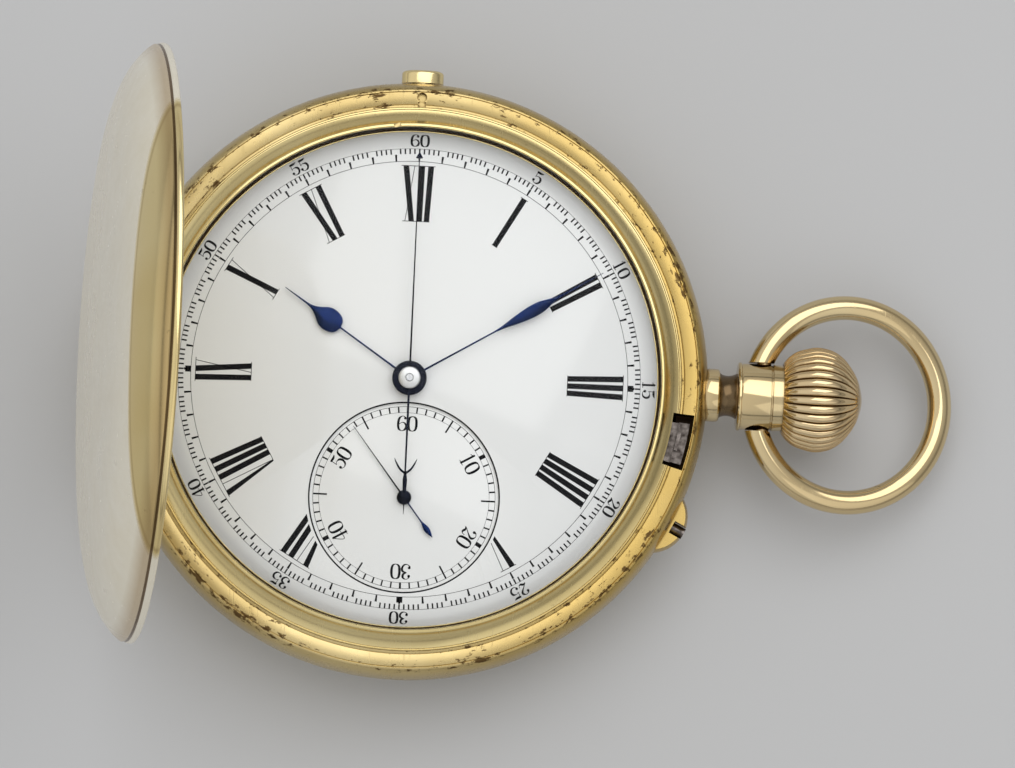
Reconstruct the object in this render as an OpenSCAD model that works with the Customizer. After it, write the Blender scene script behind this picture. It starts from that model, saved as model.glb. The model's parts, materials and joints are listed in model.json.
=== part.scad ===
// Full hunter pocket watch with a sweep seconds hand, lying on its back with the front lid open.
// The dial faces +Z, 12 o'clock is +Y and the pendant is +X.
// The origin is the middle of the flat of the back cover.

/* [Case] */
// Height of the stem above the flat of the back, where the case is widest
stem_z = 6.9; // [6.8:0.1:7.1]
// Distance that the case middle bulges beyond the rims
belly = 1; // [0.8:0.1:1.4]
// Width of the lid's seat, from the bezel to the rim
seat_w = 1.4; // [1.3:0.05:1.6]
// Width of the bezel ring, from the bore to the seat
bezel_w = 1.7; // [1.65:0.05:1.8]
// Height of the back cover's rim
back_seat_z = 3.6; // [3.5:0.05:3.8]
// Depth of the front lid from its rim to its crown
lid_depth = 4.7; // [4.5:0.1:5.5]
// Wall of the lid and the back cover
cover_wall = 0.7; // [0.5:0.05:0.8]
// Height of the bead round the rim of the lid and the back cover
bead_h = 0.6; // [0.4:0.05:0.7]
// Rise of the lid's middle above its shoulders
lid_swell = 0.8; // [0.5:0.1:1]
// Angle at which the front lid stands open
lid_open = 82.3; // [60:0.1:88]
// Gap from the balance's rim to the bore of the case
balance_gap = 0.9; // [0.9:0.05:1.2]
// Height of the bezel above the lid's seat
bezel_h = 1.4; // [1.2:0.1:1.6]
// Thickness of the crystal
crystal_t = 0.6; // [0.4:0.05:0.7]
// Height of the crystal's dome above its edge
crystal_rise = 1.35; // [1.2:0.05:1.5]
// Radius of a case hinge knuckle
knuckle_r = 0.7; // [0.6:0.05:0.8]
// Length of one knuckle of a case hinge
knuckle_l = 2.4; // [1.8:0.1:2.8]
// Radius of the hinge pins
hinge_pin_r = 0.28; // [0.2:0.02:0.34]
// Thickness of the dust cover over the movement
cuvette_t = 0.5; // [0.4:0.05:0.6]

/* [Pendant] */
// Radius of the flange where the pendant meets the case
flange_r = 2.3; // [2.1:0.1:2.6]
// Radius of the pendant's waisted neck
neck_r = 1.8; // [1.75:0.05:2]
// Radius of the sleeve that carries the bow
collar_r = 2.9; // [2.8:0.05:3]
// Length of the sleeve
collar_l = 4; // [3.8:0.1:4.4]
// Greatest radius of the crown
crown_r = 4.6; // [4.2:0.1:5]
// Length of the crown
crown_l = 6.95; // [6.8:0.05:7.2]
// Number of flutes round the crown
flutes = 26; // [20:2:32]
// Distance that the crown can be pressed in
crown_travel = 0.5; // [0.3:0.05:0.5]
// Radius of the bow to the middle of its wire
bow_r = 8.55; // [8.4:0.05:8.8]
// Radius of the bow's wire
bow_wire_r = 1.05; // [0.9:0.05:1.2]
// Distance from the bow's pivots to the middle of its ring
bow_reach = 7.67; // [7.6:0.01:7.7]
// Angle at which the bow droops at rest
bow_droop = 13.6; // [0:0.1:16]

/* [Pushers] */
// Radius of the chronograph pusher's shaft
pusher_r = 0.9; // [0.7:0.05:1]
// Half length of the pusher's oval cap
cap_half_l = 1.83; // [1.5:0.05:2.2]
// Half width of the pusher's oval cap
cap_half_w = 1.2; // [1.15:0.05:1.5]
// Distance that the pusher travels
pusher_travel = 0.6; // [0.5:0.1:0.9]
// Radius of the hand-setting pin
set_pin_r = 0.5; // [0.4:0.05:0.6]
// Angle of the hand-setting pin below 3 o'clock
set_pin_angle = 26.6; // [26:0.1:29]
// Distance that the hand-setting pin travels
set_travel = 0.8; // [0.5:0.1:0.8]
// Angle of the lid catch below 3 o'clock
catch_angle = 10.6; // [10.2:0.1:11]

/* [Dial and hands] */
// Gap from the dial's edge to the bore of the case
dial_gap = 0.2; // [0.2:0.05:0.5]
// Thickness of the dial
dial_t = 0.8; // [0.7:0.05:0.9]
// Radius of the opening for the sunk seconds dial
seconds_dial_r = 8.2; // [7.8:0.1:8.3]
// Depth of the sunk seconds dial
seconds_sink = 0.25; // [0.15:0.05:0.35]
// Length of the hour hand from the centre
hour_hand_l = 13.4; // [12:0.1:14]
// Length of the minute hand from the centre
minute_hand_l = 19.2; // [18:0.1:20]
// Length of the sweep hand from the centre
sweep_hand_l = 19.7; // [18:0.1:20.4]
// Length of the sub-seconds hand from its centre
seconds_hand_l = 7.6; // [7:0.1:7.8]
// Thickness of a hand
hand_t = 0.12; // [0.1:0.01:0.16]
// Hour hand's angle, clockwise from 12
hour_angle = 303.8; // [0:0.1:360]
// Minute hand's angle, clockwise from 12
minute_angle = 58.9; // [0:0.1:360]
// Sub-seconds hand's angle, clockwise from 12
seconds_angle = 322.2; // [0:0.1:360]

/* [Movement] */
// Thickness of the mainplate
plate_t = 1.5; // [1.45:0.05:1.6]
// Space between the mainplate and the dial, for the motion work
under_dial = 0.7; // [0.7:0.02:0.8]
// Space between the mainplate and the bridges, for the train
train_h = 2.3; // [2.3:0.02:2.4]
// Thickness of the bridges
bridge_t = 1.1; // [1:0.05:1.15]
// Distance from the bore of the case to the edge of the bridges
bridge_edge = 1.6; // [1.5:0.05:2]
// Gap between neighbouring bridges
bridge_gap = 0.3; // [0.2:0.05:0.4]
// Thickness of a train wheel
wheel_t = 0.3; // [0.2:0.02:0.32]
// Running clearance of shafts in their holes
fit = 0.03; // [0.02:0.005:0.04]
// Radius of a jewel
jewel_r = 0.6; // [0.5:0.05:0.65]
// Radius of a pivot
pivot_r = 0.14; // [0.1:0.01:0.18]
// Radius of a bridge screw's head
screw_head_r = 0.85; // [0.7:0.05:0.9]
// Radius of a bridge screw's shank
screw_r = 0.4; // [0.3:0.02:0.45]
// Radius of the balance wheel
balance_r = 6.9; // [6.5:0.1:6.95]
// Distance from the watch's centre to the balance
balance_reach = 14.2; // [14.1:0.05:14.3]
// Direction of the balance from the centre
balance_dir = 192.8; // [192:0.1:194]
// Direction of the barrel from the centre
barrel_dir = 57; // [56.6:0.1:57.4]

/* [Gearing] */
// Teeth of the barrel
barrel_teeth = 80; // [80]
// Teeth of the centre wheel
centre_teeth = 80; // [80]
// Teeth of the third wheel
third_teeth = 75; // [75]
// Teeth of the fourth wheel
fourth_teeth = 80; // [80]
// Leaves of the centre, third and fourth pinions
pinion_leaves = 10; // [10]
// Leaves of the escape pinion
escape_leaves = 8; // [8]
// Teeth of the escape wheel
escape_teeth = 15; // [15]
// Leaves of the cannon pinion
cannon_leaves = 12; // [12]
// Teeth of the minute wheel
minute_teeth = 36; // [36]
// Leaves of the minute wheel's pinion
minute_leaves = 10; // [10]
// Teeth of the hour wheel
hour_teeth = 40; // [40]
// Teeth of the setting wheel
setting_teeth = 31; // [31]
// Teeth of the crown wheel
crown_teeth = 32; // [32]
// Teeth of the ratchet wheel
ratchet_teeth = 46; // [46]
// Teeth of the winding pinion
winding_teeth = 15; // [15]
// Teeth of the chronograph wheel and of the wheel that drives it
chrono_teeth = 72; // [72]
// Teeth of the coupling wheel
coupling_teeth = 36; // [36]
// Distance from the centre arbor to the barrel arbor
barrel_reach = 10.8; // [10.75:0.01:10.85]
// Distance from the centre arbor to the third arbor
third_reach = 7.43; // [7.4:0.01:7.45]
// Distance from the third arbor to the fourth arbor
fourth_reach = 5.95; // [5.93:0.01:5.97]
// Distance from the fourth arbor to the escape arbor
escape_reach = 5.5; // [5.48:0.01:5.52]
// Distance from the watch's centre to the seconds dial's centre
seconds_reach = 10.35; // [10.3:0.01:10.4]
// Distance from the centre to the minute wheel's stud
minute_reach = 3.84; // [3.82:0.01:3.86]
// Module of the winding wheels
winding_mod = 0.28; // [0.278:0.001:0.281]
// Module of the chronograph wheels
chrono_mod = 0.11; // [0.108:0.001:0.111]

/* [Hidden] */
$fn = 96;

gold = [0.83, 0.71, 0.42];
steel = [0.62, 0.63, 0.66];
blued = [0.08, 0.1, 0.25];
gilt = [0.8, 0.66, 0.36];
enamel = [0.94, 0.94, 0.93];
ruby = [0.7, 0.12, 0.22];

// Radii of the case, outwards from what the movement needs
barrel_tip_r = barrel_reach * (barrel_teeth + 1.1) / (barrel_teeth + pinion_leaves);
barrel_gap = 1.4;
bore_r = max(balance_reach + balance_r + balance_gap, barrel_reach + barrel_tip_r + barrel_gap);
bezel_r = bore_r + bezel_w;
rim_r = bezel_r + seat_w;
case_r = rim_r + belly;
dial_r = bore_r - dial_gap;
bridge_r = bore_r - bridge_edge;
flange_w = 1.1;
flange_in_r = bore_r - flange_w;

// Levels, from the back to the crystal
plate_z = stem_z;
plate_top = plate_z + plate_t;
dial_z = plate_top + under_dial;
dial_top = dial_z + dial_t;
seat_rise = 0.2;
lid_seat_z = dial_top + seat_rise;
ledge_drop = 0.5;
ledge_z = lid_seat_z - ledge_drop;
bridge_top = plate_z - train_h;
bridge_z = bridge_top - bridge_t;
wheel_gap = 0.05;
chrono_h = 1.15;
chrono_z = bridge_z - chrono_h;
cuvette_z = chrono_z - 0.25 - cuvette_t;
cuvette_seat_z = back_seat_z + 0.3;
cuvette_r = bezel_r;
back_depth = back_seat_z;
flange_h = 1;
groove_r = bezel_r - 0.3;
groove_z = plate_z + 0.6;
groove_top = ledge_z - 0.3;
spring_in_r = bore_r + 0.15;
spring_t = 0.7;
spring_z = groove_z + 0.2;
spring_h = groove_top - 0.25 - spring_z;

// Hinges at 9 o'clock
hinge_x = -(rim_r + 0.35);
knuckle_gap = 0.05;
pocket_r = knuckle_r + 0.08;
cuvette_hinge_x = -(cuvette_r - 0.35);
cuvette_knuckle_r = 0.42;
cuvette_pin_r = 0.2;

// Pendant, along +X from the case
pendant_x = case_r - 0.35;
pendant_flange_t = 1.35;
neck_l = 1.55;
collar_x = pendant_x + pendant_flange_t + neck_l;
collar_end = collar_x + collar_l;
spigot_l = 0.85;
crown_x = collar_end;
crown_bore_r = collar_r + 0.05;
crown_floor_x = collar_end + spigot_l + crown_travel + 0.2;
pivot_x = collar_x + 2.3;
bow_pin_r = 0.62;
push_sleeve_r = 1.5;
push_sleeve_in = 1;
stem_end_x = crown_x + 5;
push_sleeve_x = spring_in_r + spring_t + 0.05;
stem_r = 0.6;
stem_outer_r = 0.95;

// Movement layout
function polar(r, a) = [r * cos(a), r * sin(a)];
function heading(p) = atan2(p[1], p[0]);
function meet(p, q, rp, rq, side) =
    let (d = norm(q - p), along = (rp * rp - rq * rq + d * d) / (2 * d),
        off = sqrt(rp * rp - along * along), u = (q - p) / d)
    p + along * u + side * off * [-u[1], u[0]];
function mesh_phase(na, pa, nb, dir) = dir + 180 + na / nb * (dir - pa) - 180 / nb;

origin = [0, 0];
barrel_at = polar(barrel_reach, barrel_dir);
fourth_at = [0, -seconds_reach];
third_at = meet(origin, fourth_at, third_reach, fourth_reach, 1);
escape_at = fourth_at + polar(escape_reach, 150);
balance_at = polar(balance_reach, balance_dir);
pallet_share = 3.9;
pallet_dir = heading(balance_at - escape_at);
pallet_at = escape_at + polar(pallet_share, pallet_dir);
minute_at = [minute_reach, 0];
setting_mod = minute_reach * 2 / (cannon_leaves + minute_teeth);
setting_at = minute_at + [setting_mod * (minute_teeth + setting_teeth) / 2, 0];
winding_reach = winding_mod * (crown_teeth + ratchet_teeth) / 2;
crown_wheel_at = [barrel_at[0] + sqrt(pow(winding_reach, 2) - pow(barrel_at[1], 2)), 0];
driver_r = chrono_mod * chrono_teeth / 2;
coupling_r = chrono_mod * coupling_teeth / 2;
coupling_rest_gap = 0.25;
coupling_at = meet(origin, fourth_at, driver_r + coupling_r + coupling_rest_gap,
    driver_r + coupling_r, 1);

// Modules of the train, from the distances between its arbors
barrel_mod = 2 * barrel_reach / (barrel_teeth + pinion_leaves);
centre_mod = 2 * third_reach / (centre_teeth + pinion_leaves);
third_mod = 2 * fourth_reach / (third_teeth + pinion_leaves);
fourth_mod = 2 * escape_reach / (fourth_teeth + escape_leaves);
cannon_mod = setting_mod;
hour_mod = 2 * minute_reach / (minute_leaves + hour_teeth);

// Tooth phases, so that each pair is in mesh
centre_phase = 0;
centre_pinion_phase = 0;
barrel_phase = mesh_phase(pinion_leaves, centre_pinion_phase, barrel_teeth, barrel_dir);
third_pinion_phase = mesh_phase(centre_teeth, centre_phase, pinion_leaves, heading(third_at));
third_phase = 0;
fourth_pinion_phase = mesh_phase(third_teeth, third_phase, pinion_leaves,
    heading(fourth_at - third_at));
fourth_phase = 0;
escape_pinion_phase = mesh_phase(fourth_teeth, fourth_phase, escape_leaves,
    heading(escape_at - fourth_at));
cannon_phase = 0;
minute_phase = mesh_phase(cannon_leaves, cannon_phase, minute_teeth, 0);
minute_pinion_phase = 0;
hour_phase = mesh_phase(minute_leaves, minute_pinion_phase, hour_teeth, 180);
setting_phase = mesh_phase(minute_teeth, minute_phase, setting_teeth, 0);
ratchet_dir = heading(barrel_at - crown_wheel_at);
ratchet_phase = mesh_phase(crown_teeth, 0, ratchet_teeth, ratchet_dir);
driver_phase = 0;
coupling_phase = mesh_phase(chrono_teeth, driver_phase, coupling_teeth,
    heading(coupling_at - fourth_at));

// Levels of the wheels in the train
centre_wheel_z = bridge_top + 0.2;
third_wheel_z = bridge_top + 1;
fourth_wheel_z = bridge_top + 1.75;
barrel_z = bridge_top + 0.8;
barrel_h = 1.85;
barrel_sink = 0.45;
balance_z = bridge_top + 0.1;
balance_t = 0.4;
roller_z = bridge_top + 0.7;
fork_z = bridge_top + 1.05;
fork_t = 0.25;
runner_arbor_r = 0.3;
centre_arbor_r = 0.55;
centre_bore_r = runner_arbor_r + 0.06;
cannon_r = 0.78;
hour_pipe_r = 1.05;
fourth_arbor_r = 0.3;
crown_post_r = 0.8;
crown_boss_r = 5.1;
crown_floor_z = bridge_top + 0.4;
barrel_post_r = 1.1;
screw_head_h = 0.45;

// Levels of the hands
hour_hand_z = dial_top + 0.35;
minute_hand_z = hour_hand_z + 0.45;
sweep_hand_z = minute_hand_z + 0.5;
seconds_hand_z = dial_top + 0.02;
hand_boss_t = 0.35;

screw_points = [polar(bridge_r - 1.6, 18), polar(bridge_r - 1.8, 101), polar(bridge_r - 2, -51),
    polar(bridge_r - 2, -101), polar(bridge_r - 2.2, 139)];
dog_points = [for (a = [165, -75, 78]) polar(flange_in_r - 0.8, a)];
spring_screw_points = [polar(spring_in_r + spring_t / 2, -75), polar(spring_in_r + spring_t / 2, 110)];

module ring(r_out, r_in, z, h) {
    translate([0, 0, z])
        difference() {
            cylinder(r = r_out, h = h);
            translate([0, 0, -1]) cylinder(r = r_in, h = h + 2);
        }
}

module rod(at, r, z, h) {
    translate([at[0], at[1], z]) cylinder(r = r, h = h);
}

// Sector of a ring between two angles
module arc(r_out, r_in, a0, a1, z, h) {
    rotate_extrude(start = a0, angle = a1 - a0) translate([r_in, z]) square([r_out - r_in, h]);
}

// Rod along +X at the height of the stem
module stem_rod(r, x, l) {
    translate([x, 0, stem_z]) rotate([0, 90, 0]) cylinder(r = r, h = l);
}

// Toothed disc, one tooth centred on the phase angle
module spur(teeth, mod, t, phase, root_fill = 0.5, tip_fill = 0.26, add = 0.55, ded = 0.85) {
    step = 360 / teeth;
    tip = mod * (teeth / 2 + add);
    root = mod * (teeth / 2 - ded);
    linear_extrude(t)
        polygon([for (i = [0:teeth - 1])
            for (q = [[root, -root_fill], [tip, -tip_fill], [tip, tip_fill], [root, root_fill]])
                polar(q[0], phase + (i + q[1] / 2) * step)]);
}

// Toothed wheel crossed out with spokes
module crossed_wheel(teeth, mod, t, phase, hub_r, rim_w, spokes) {
    inner = mod * (teeth / 2 - 0.85) - rim_w;
    difference() {
        spur(teeth, mod, t, phase);
        translate([0, 0, -1]) cylinder(r = inner, h = t + 2);
    }
    cylinder(r = hub_r, h = t);
    for (i = [0:spokes - 1])
        rotate(phase + i * 360 / spokes)
            translate([0, -rim_w / 2, 0]) cube([inner + rim_w / 2, rim_w, t]);
}

// Height of a cover's outside above its rim, at radius r
back_flat_r = 12;
function cover_rise(r, depth, swell) =
    swell == 0 && r < back_flat_r ? depth
        : bead_h + 0.18 + (depth - bead_h - 0.18 - swell) * pow(1 - pow(min(r / rim_r, 1), 8), 0.85)
            + swell * (1 - pow(r / rim_r, 2));

// Half section of a domed cover, rim at z = 0 and dome towards +Z
module cover_section(depth, swell) {
    steps = 22;
    outer = [for (i = [0:steps]) let (k = i / steps, r = (rim_r - 0.12) * (1 - pow(1 - k, 1.9)))
        [r, cover_rise(r, depth, swell)]];
    inner_r = rim_r - cover_wall;
    inner = [for (i = [steps:-1:0]) let (k = i / steps, r = inner_r * (1 - pow(1 - k, 1.9)))
        [r, cover_rise(r * rim_r / inner_r * 0.995, depth, swell) - cover_wall]];
    bead = [[rim_r - 0.25, bead_h + 0.12], [rim_r - 0.22, bead_h], [rim_r - 0.05, bead_h * 0.8],
        [rim_r, bead_h / 2], [rim_r - 0.04, 0], [inner_r, 0]];
    polygon(concat(outer, bead, inner));
}

module domed_cover(depth, swell) {
    rotate_extrude() cover_section(depth, swell);
}

module knuckles(x, z, r, which, grow, length) {
    for (i = which)
        translate([x, (i - 2.5) * length - grow, z])
            rotate([-90, 0, 0]) cylinder(r = r, h = length + 2 * grow);
}

module hinge_bore(x, z, r, half_l) {
    translate([x, -half_l, z]) rotate([-90, 0, 0]) cylinder(r = r, h = 2 * half_l);
}

// Runs a shape at the lid's closed place, turned open about the hinge
module opened() {
    translate([hinge_x, 0, lid_seat_z])
        rotate([0, -lid_open, 0])
            translate([-hinge_x, 0, -lid_seat_z]) children();
}

// Outer shape of the case middle, bellied at the height of the stem
module middle_section() {
    steps = 9;
    up = lid_seat_z - stem_z;
    down = stem_z - back_seat_z;
    outer = [for (i = [-steps:steps]) let (a = i * 90 / steps)
        [rim_r + belly * cos(a), stem_z + (i < 0 ? down : up) * sin(a)]];
    inner = [[bezel_r, lid_seat_z], [bezel_r, ledge_z], [bore_r, ledge_z], [bore_r, groove_top],
        [groove_r, groove_top], [groove_r, groove_z], [bore_r, groove_z], [bore_r, plate_z],
        [flange_in_r, plate_z], [flange_in_r, plate_z - flange_h], [bore_r, plate_z - flange_h],
        [bezel_r - 0.1, plate_z - flange_h - 0.6], [bezel_r - 0.1, cuvette_seat_z + 0.6],
        [bore_r, cuvette_seat_z], [cuvette_r + 0.2, cuvette_seat_z], [cuvette_r + 0.2, back_seat_z]];
    polygon(concat(outer, inner));
}

// Lens outline of a given half length and half width
module lens(half_l, half_w) {
    r = (half_l * half_l + half_w * half_w) / (2 * half_w);
    intersection() {
        translate([0, half_w - r]) circle(r = r);
        translate([0, r - half_w]) circle(r = r);
    }
}

guard_half_l = 2.7;
guard_half_w = 1.25;
guard_seat = case_r - 0.45;
guard_rise = 1.3;
guard_ball_r = 3.2;
cap_seat = case_r + 0.05 - pusher_travel;
cap_h = 1.15;

// Places a child that is built along +Z onto the rim at an angle, at the height of the stem
module on_rim(angle) {
    translate([0, 0, stem_z]) rotate([0, 0, angle]) rotate([0, 90, 0]) children();
}

module case_middle() color(gold)
    difference() {
        union() {
            rotate_extrude() middle_section();
            knuckles(hinge_x, lid_seat_z, knuckle_r, [0, 2, 4], -knuckle_gap / 2, knuckle_l);
            knuckles(hinge_x, back_seat_z, knuckle_r, [0, 2, 4], -knuckle_gap / 2, knuckle_l);
            knuckles(cuvette_hinge_x, back_seat_z, cuvette_knuckle_r, [1, 3], -knuckle_gap / 2,
                knuckle_l);
        }
        knuckles(hinge_x, lid_seat_z, pocket_r, [1, 3], knuckle_gap / 2, knuckle_l);
        knuckles(hinge_x, back_seat_z, pocket_r, [1, 3], knuckle_gap / 2, knuckle_l);
        knuckles(cuvette_hinge_x, back_seat_z, cuvette_knuckle_r + 0.08, [2], knuckle_gap / 2,
            knuckle_l);
        hinge_bore(hinge_x, lid_seat_z, hinge_pin_r + fit, 3 * knuckle_l);
        hinge_bore(hinge_x, back_seat_z, hinge_pin_r + fit, 3 * knuckle_l);
        hinge_bore(cuvette_hinge_x, back_seat_z, cuvette_pin_r + fit, 2 * knuckle_l);
        stem_rod(push_sleeve_r + fit, flange_in_r - 1, 10);
        stem_rod(flange_r + fit, pendant_x, 4);
        translate([flange_in_r - 1, -3, stem_z - 1.7])
            cube([groove_r - flange_in_r + 1, 6, groove_top - stem_z + 1.7]);
        on_rim(90) {
            translate([0, 0, flange_in_r - 1]) cylinder(r = pusher_r + fit, h = 10);
            translate([0, 0, cap_seat]) linear_extrude(4)
                rotate(90) lens(cap_half_l + 0.05, cap_half_w + 0.05);
        }
        translate([-1.4, flange_in_r - 1, stem_z - flange_h - 1])
            cube([2.8, bore_r - flange_in_r + 1.2, flange_h + 2]);
        on_rim(-set_pin_angle) {
            translate([0, 0, flange_in_r - 1]) cylinder(r = set_pin_r + fit, h = 10);
            translate([-guard_half_w - 0.02, -guard_half_l - 0.1, guard_seat])
                cube([2 * guard_half_w + 0.04, 2 * guard_half_l + 0.2, 4]);
        }
        arc(rim_r - 0.1, bore_r - 0.5, -catch_angle - 5.5, -catch_angle + 5.8, groove_z, 4);
        arc(rim_r - 0.7, bore_r - 0.5, 168, 177, groove_z, 4);
        translate([0, rim_r - 0.5, lid_seat_z - 1]) cylinder(r = 0.42, h = 2);
        translate([-0.35, bezel_r + 0.05, lid_seat_z - 0.3]) cube([0.7, 0.45, 1]);
        for (p = dog_points) rod(p, 1.15, plate_z - flange_h - 0.6, 0.55);
        for (p = spring_screw_points) rod(p, 0.3 + fit, plate_z, 1);
    }

module bezel() color(gold)
    difference() {
        rotate_extrude()
            polygon(concat(
                [[dial_r - 0.1, dial_top + 0.05], [dial_r - 0.1, dial_top + 0.4],
                    [bore_r - 0.2, dial_top + 0.7], [bore_r - 0.2, dial_top + 1],
                    [bore_r + 0.16, dial_top + 1], [bore_r + 0.16, lid_seat_z + bezel_h],
                    [bore_r + 0.42, lid_seat_z + bezel_h]],
                [for (i = [1:7]) let (a = 180 + i * 90 / 8)
                    [bezel_r + (bezel_r - bore_r - 0.42) * cos(a),
                        lid_seat_z + bezel_h + (bezel_h - 0.15) * sin(a)]],
                [[bezel_r - 0.01, lid_seat_z + 0.1], [bezel_r - 0.01, ledge_z],
                    [bore_r - 0.1, ledge_z], [bore_r - 0.1, dial_top + 0.05]]));
        arc(bezel_r + 0.5, bezel_r - 0.55, -catch_angle - 5.5, -catch_angle + 5.8, ledge_z - 1, 4);
    }

crystal_r = bore_r + 0.14;
crystal_edge = 1;
crystal_rim_w = 0.55;
crystal_z = dial_top + 1;
crystal_sphere = (crystal_r * crystal_r + crystal_rise * crystal_rise) / (2 * crystal_rise);
module crystal() color([0.85, 0.92, 0.95, 0.3])
    translate([0, 0, crystal_z])
        rotate_extrude() {
            intersection() {
                difference() {
                    translate([0, crystal_edge + crystal_rise - crystal_sphere])
                        circle(r = crystal_sphere, $fn = 360);
                    translate([0, crystal_edge + crystal_rise - crystal_sphere])
                        circle(r = crystal_sphere - crystal_t, $fn = 360);
                }
                square([crystal_r, crystal_edge + crystal_rise + 1]);
            }
            translate([crystal_r - crystal_rim_w, 0]) square([crystal_rim_w, crystal_edge]);
        }

module front_lid() color(gold)
    opened()
        difference() {
            union() {
                translate([0, 0, lid_seat_z]) domed_cover(lid_depth, lid_swell);
                knuckles(hinge_x, lid_seat_z, knuckle_r, [1, 3], -knuckle_gap / 2, knuckle_l);
            }
            knuckles(hinge_x, lid_seat_z, pocket_r, [0, 2, 4], knuckle_gap / 2, knuckle_l);
            hinge_bore(hinge_x, lid_seat_z, hinge_pin_r + fit, 3 * knuckle_l);
        }

module back_cover() color(gold)
    difference() {
        union() {
            translate([0, 0, back_seat_z]) mirror([0, 0, 1]) domed_cover(back_depth, 0);
            knuckles(hinge_x, back_seat_z, knuckle_r, [1, 3], -knuckle_gap / 2, knuckle_l);
        }
        knuckles(hinge_x, back_seat_z, pocket_r, [0, 2, 4], knuckle_gap / 2, knuckle_l);
        hinge_bore(hinge_x, back_seat_z, hinge_pin_r + fit, 3 * knuckle_l);
    }

module cuvette() color(gold)
    difference() {
        union() {
            intersection() {
                rotate_extrude()
                    polygon([[0, cuvette_z], [bore_r - 1.7, cuvette_z], [bore_r + 0.5, cuvette_seat_z - 0.7],
                        [cuvette_r, cuvette_seat_z - 0.6], [cuvette_r, cuvette_seat_z],
                        [bore_r + 0.2, cuvette_seat_z], [bore_r - 1.8, cuvette_z + cuvette_t],
                        [0, cuvette_z + cuvette_t]]);
                translate([cuvette_hinge_x + 0.05, -case_r, 0]) cube([2 * case_r, 2 * case_r, stem_z]);
            }
            knuckles(cuvette_hinge_x, back_seat_z, cuvette_knuckle_r, [2], -knuckle_gap / 2,
                knuckle_l);
        }
        knuckles(cuvette_hinge_x, back_seat_z, cuvette_knuckle_r + 0.08, [1, 3], knuckle_gap / 2,
            knuckle_l);
        hinge_bore(cuvette_hinge_x, back_seat_z, cuvette_pin_r + fit, 2 * knuckle_l);
    }

module cover_hinge_pins() color(gold)
    union() {
        hinge_bore(hinge_x, lid_seat_z, hinge_pin_r, 2.5 * knuckle_l);
        hinge_bore(hinge_x, back_seat_z, hinge_pin_r, 2.5 * knuckle_l);
    }

module cuvette_hinge_pin() color(gold)
    hinge_bore(cuvette_hinge_x, back_seat_z, cuvette_pin_r, 1.5 * knuckle_l);

// Strip spring in the groove of the case middle, its foot at a0
module case_spring(a0, a1) {
    arc(spring_in_r + spring_t, spring_in_r, a0, a1, spring_z, spring_h);
}

module lid_spring() color(steel)
    difference() {
        union() {
            case_spring(106, 175.5);
            arc(rim_r - 0.85, spring_in_r + 0.1, 169.5, 175.5, spring_z, spring_h);
            arc(rim_r - 0.85, bezel_r + 0.1, 169.5, 175.5, spring_z + spring_h - 0.1,
                lid_seat_z - spring_z - spring_h);
        }
        rod(spring_screw_points[1], 0.3 + fit, plate_z, 4);
    }

catch_head_z = lid_seat_z - 0.15;
module lock_spring() color(steel)
    difference() {
        union() {
            case_spring(-79, 5);
            arc(rim_r - 0.4, spring_in_r + 0.1, -catch_angle - 4.5, -catch_angle + 4, spring_z,
                spring_h);
            arc(rim_r - 0.4, bezel_r + 0.05, -catch_angle - 4.5, -catch_angle + 4,
                spring_z + spring_h - 0.1, catch_head_z - spring_z - spring_h + 0.1);
            arc(bezel_r + 0.38, bezel_r + 0.08, -catch_angle - 2, -catch_angle + 3,
                catch_head_z - 0.1, 0.7);
            translate([spring_in_r, -2.3, stem_z - 1.5])
                cube([spring_t, 4.6, spring_z - stem_z + 1.6]);
        }
        rod(spring_screw_points[0], 0.3 + fit, plate_z, 4);
        translate([spring_in_r - 1, -1.1, stem_z - 3]) cube([3, 2.2, 4]);
    }

module case_spring_screws() color(steel)
    for (p = spring_screw_points) {
        rod(p, 0.3, plate_z + 0.4, spring_z + spring_h - plate_z - 0.4);
        rod(p, 0.5, spring_z + spring_h, 0.2);
    }

module pendant() color(gold)
    difference() {
        union() {
            stem_rod(flange_r, pendant_x, pendant_flange_t);
            stem_rod(neck_r, pendant_x, pendant_flange_t + neck_l);
        }
        stem_rod(push_sleeve_r + fit, pendant_x - 1, 10);
    }

module bow_sleeve() color(gold)
    difference() {
        union() {
            stem_rod(collar_r, collar_x, collar_l + spigot_l);
            stem_rod(collar_r + 0.1, collar_x, 0.35);
        }
        stem_rod(push_sleeve_r + fit, collar_x - 1, 10);
        difference() {
            stem_rod(collar_r + 1, collar_end - 1.05, 0.16);
            stem_rod(collar_r - 0.1, collar_end - 2, 3);
        }
        translate([pivot_x, -collar_r - 1, stem_z]) rotate([-90, 0, 0])
            cylinder(r = bow_pin_r + 0.04, h = 2 * collar_r + 2);
    }

module push_sleeve() color(steel)
    difference() {
        stem_rod(push_sleeve_r, push_sleeve_x, crown_floor_x - push_sleeve_x);
        stem_rod(push_sleeve_in, push_sleeve_x - 1, 20);
    }

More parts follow.
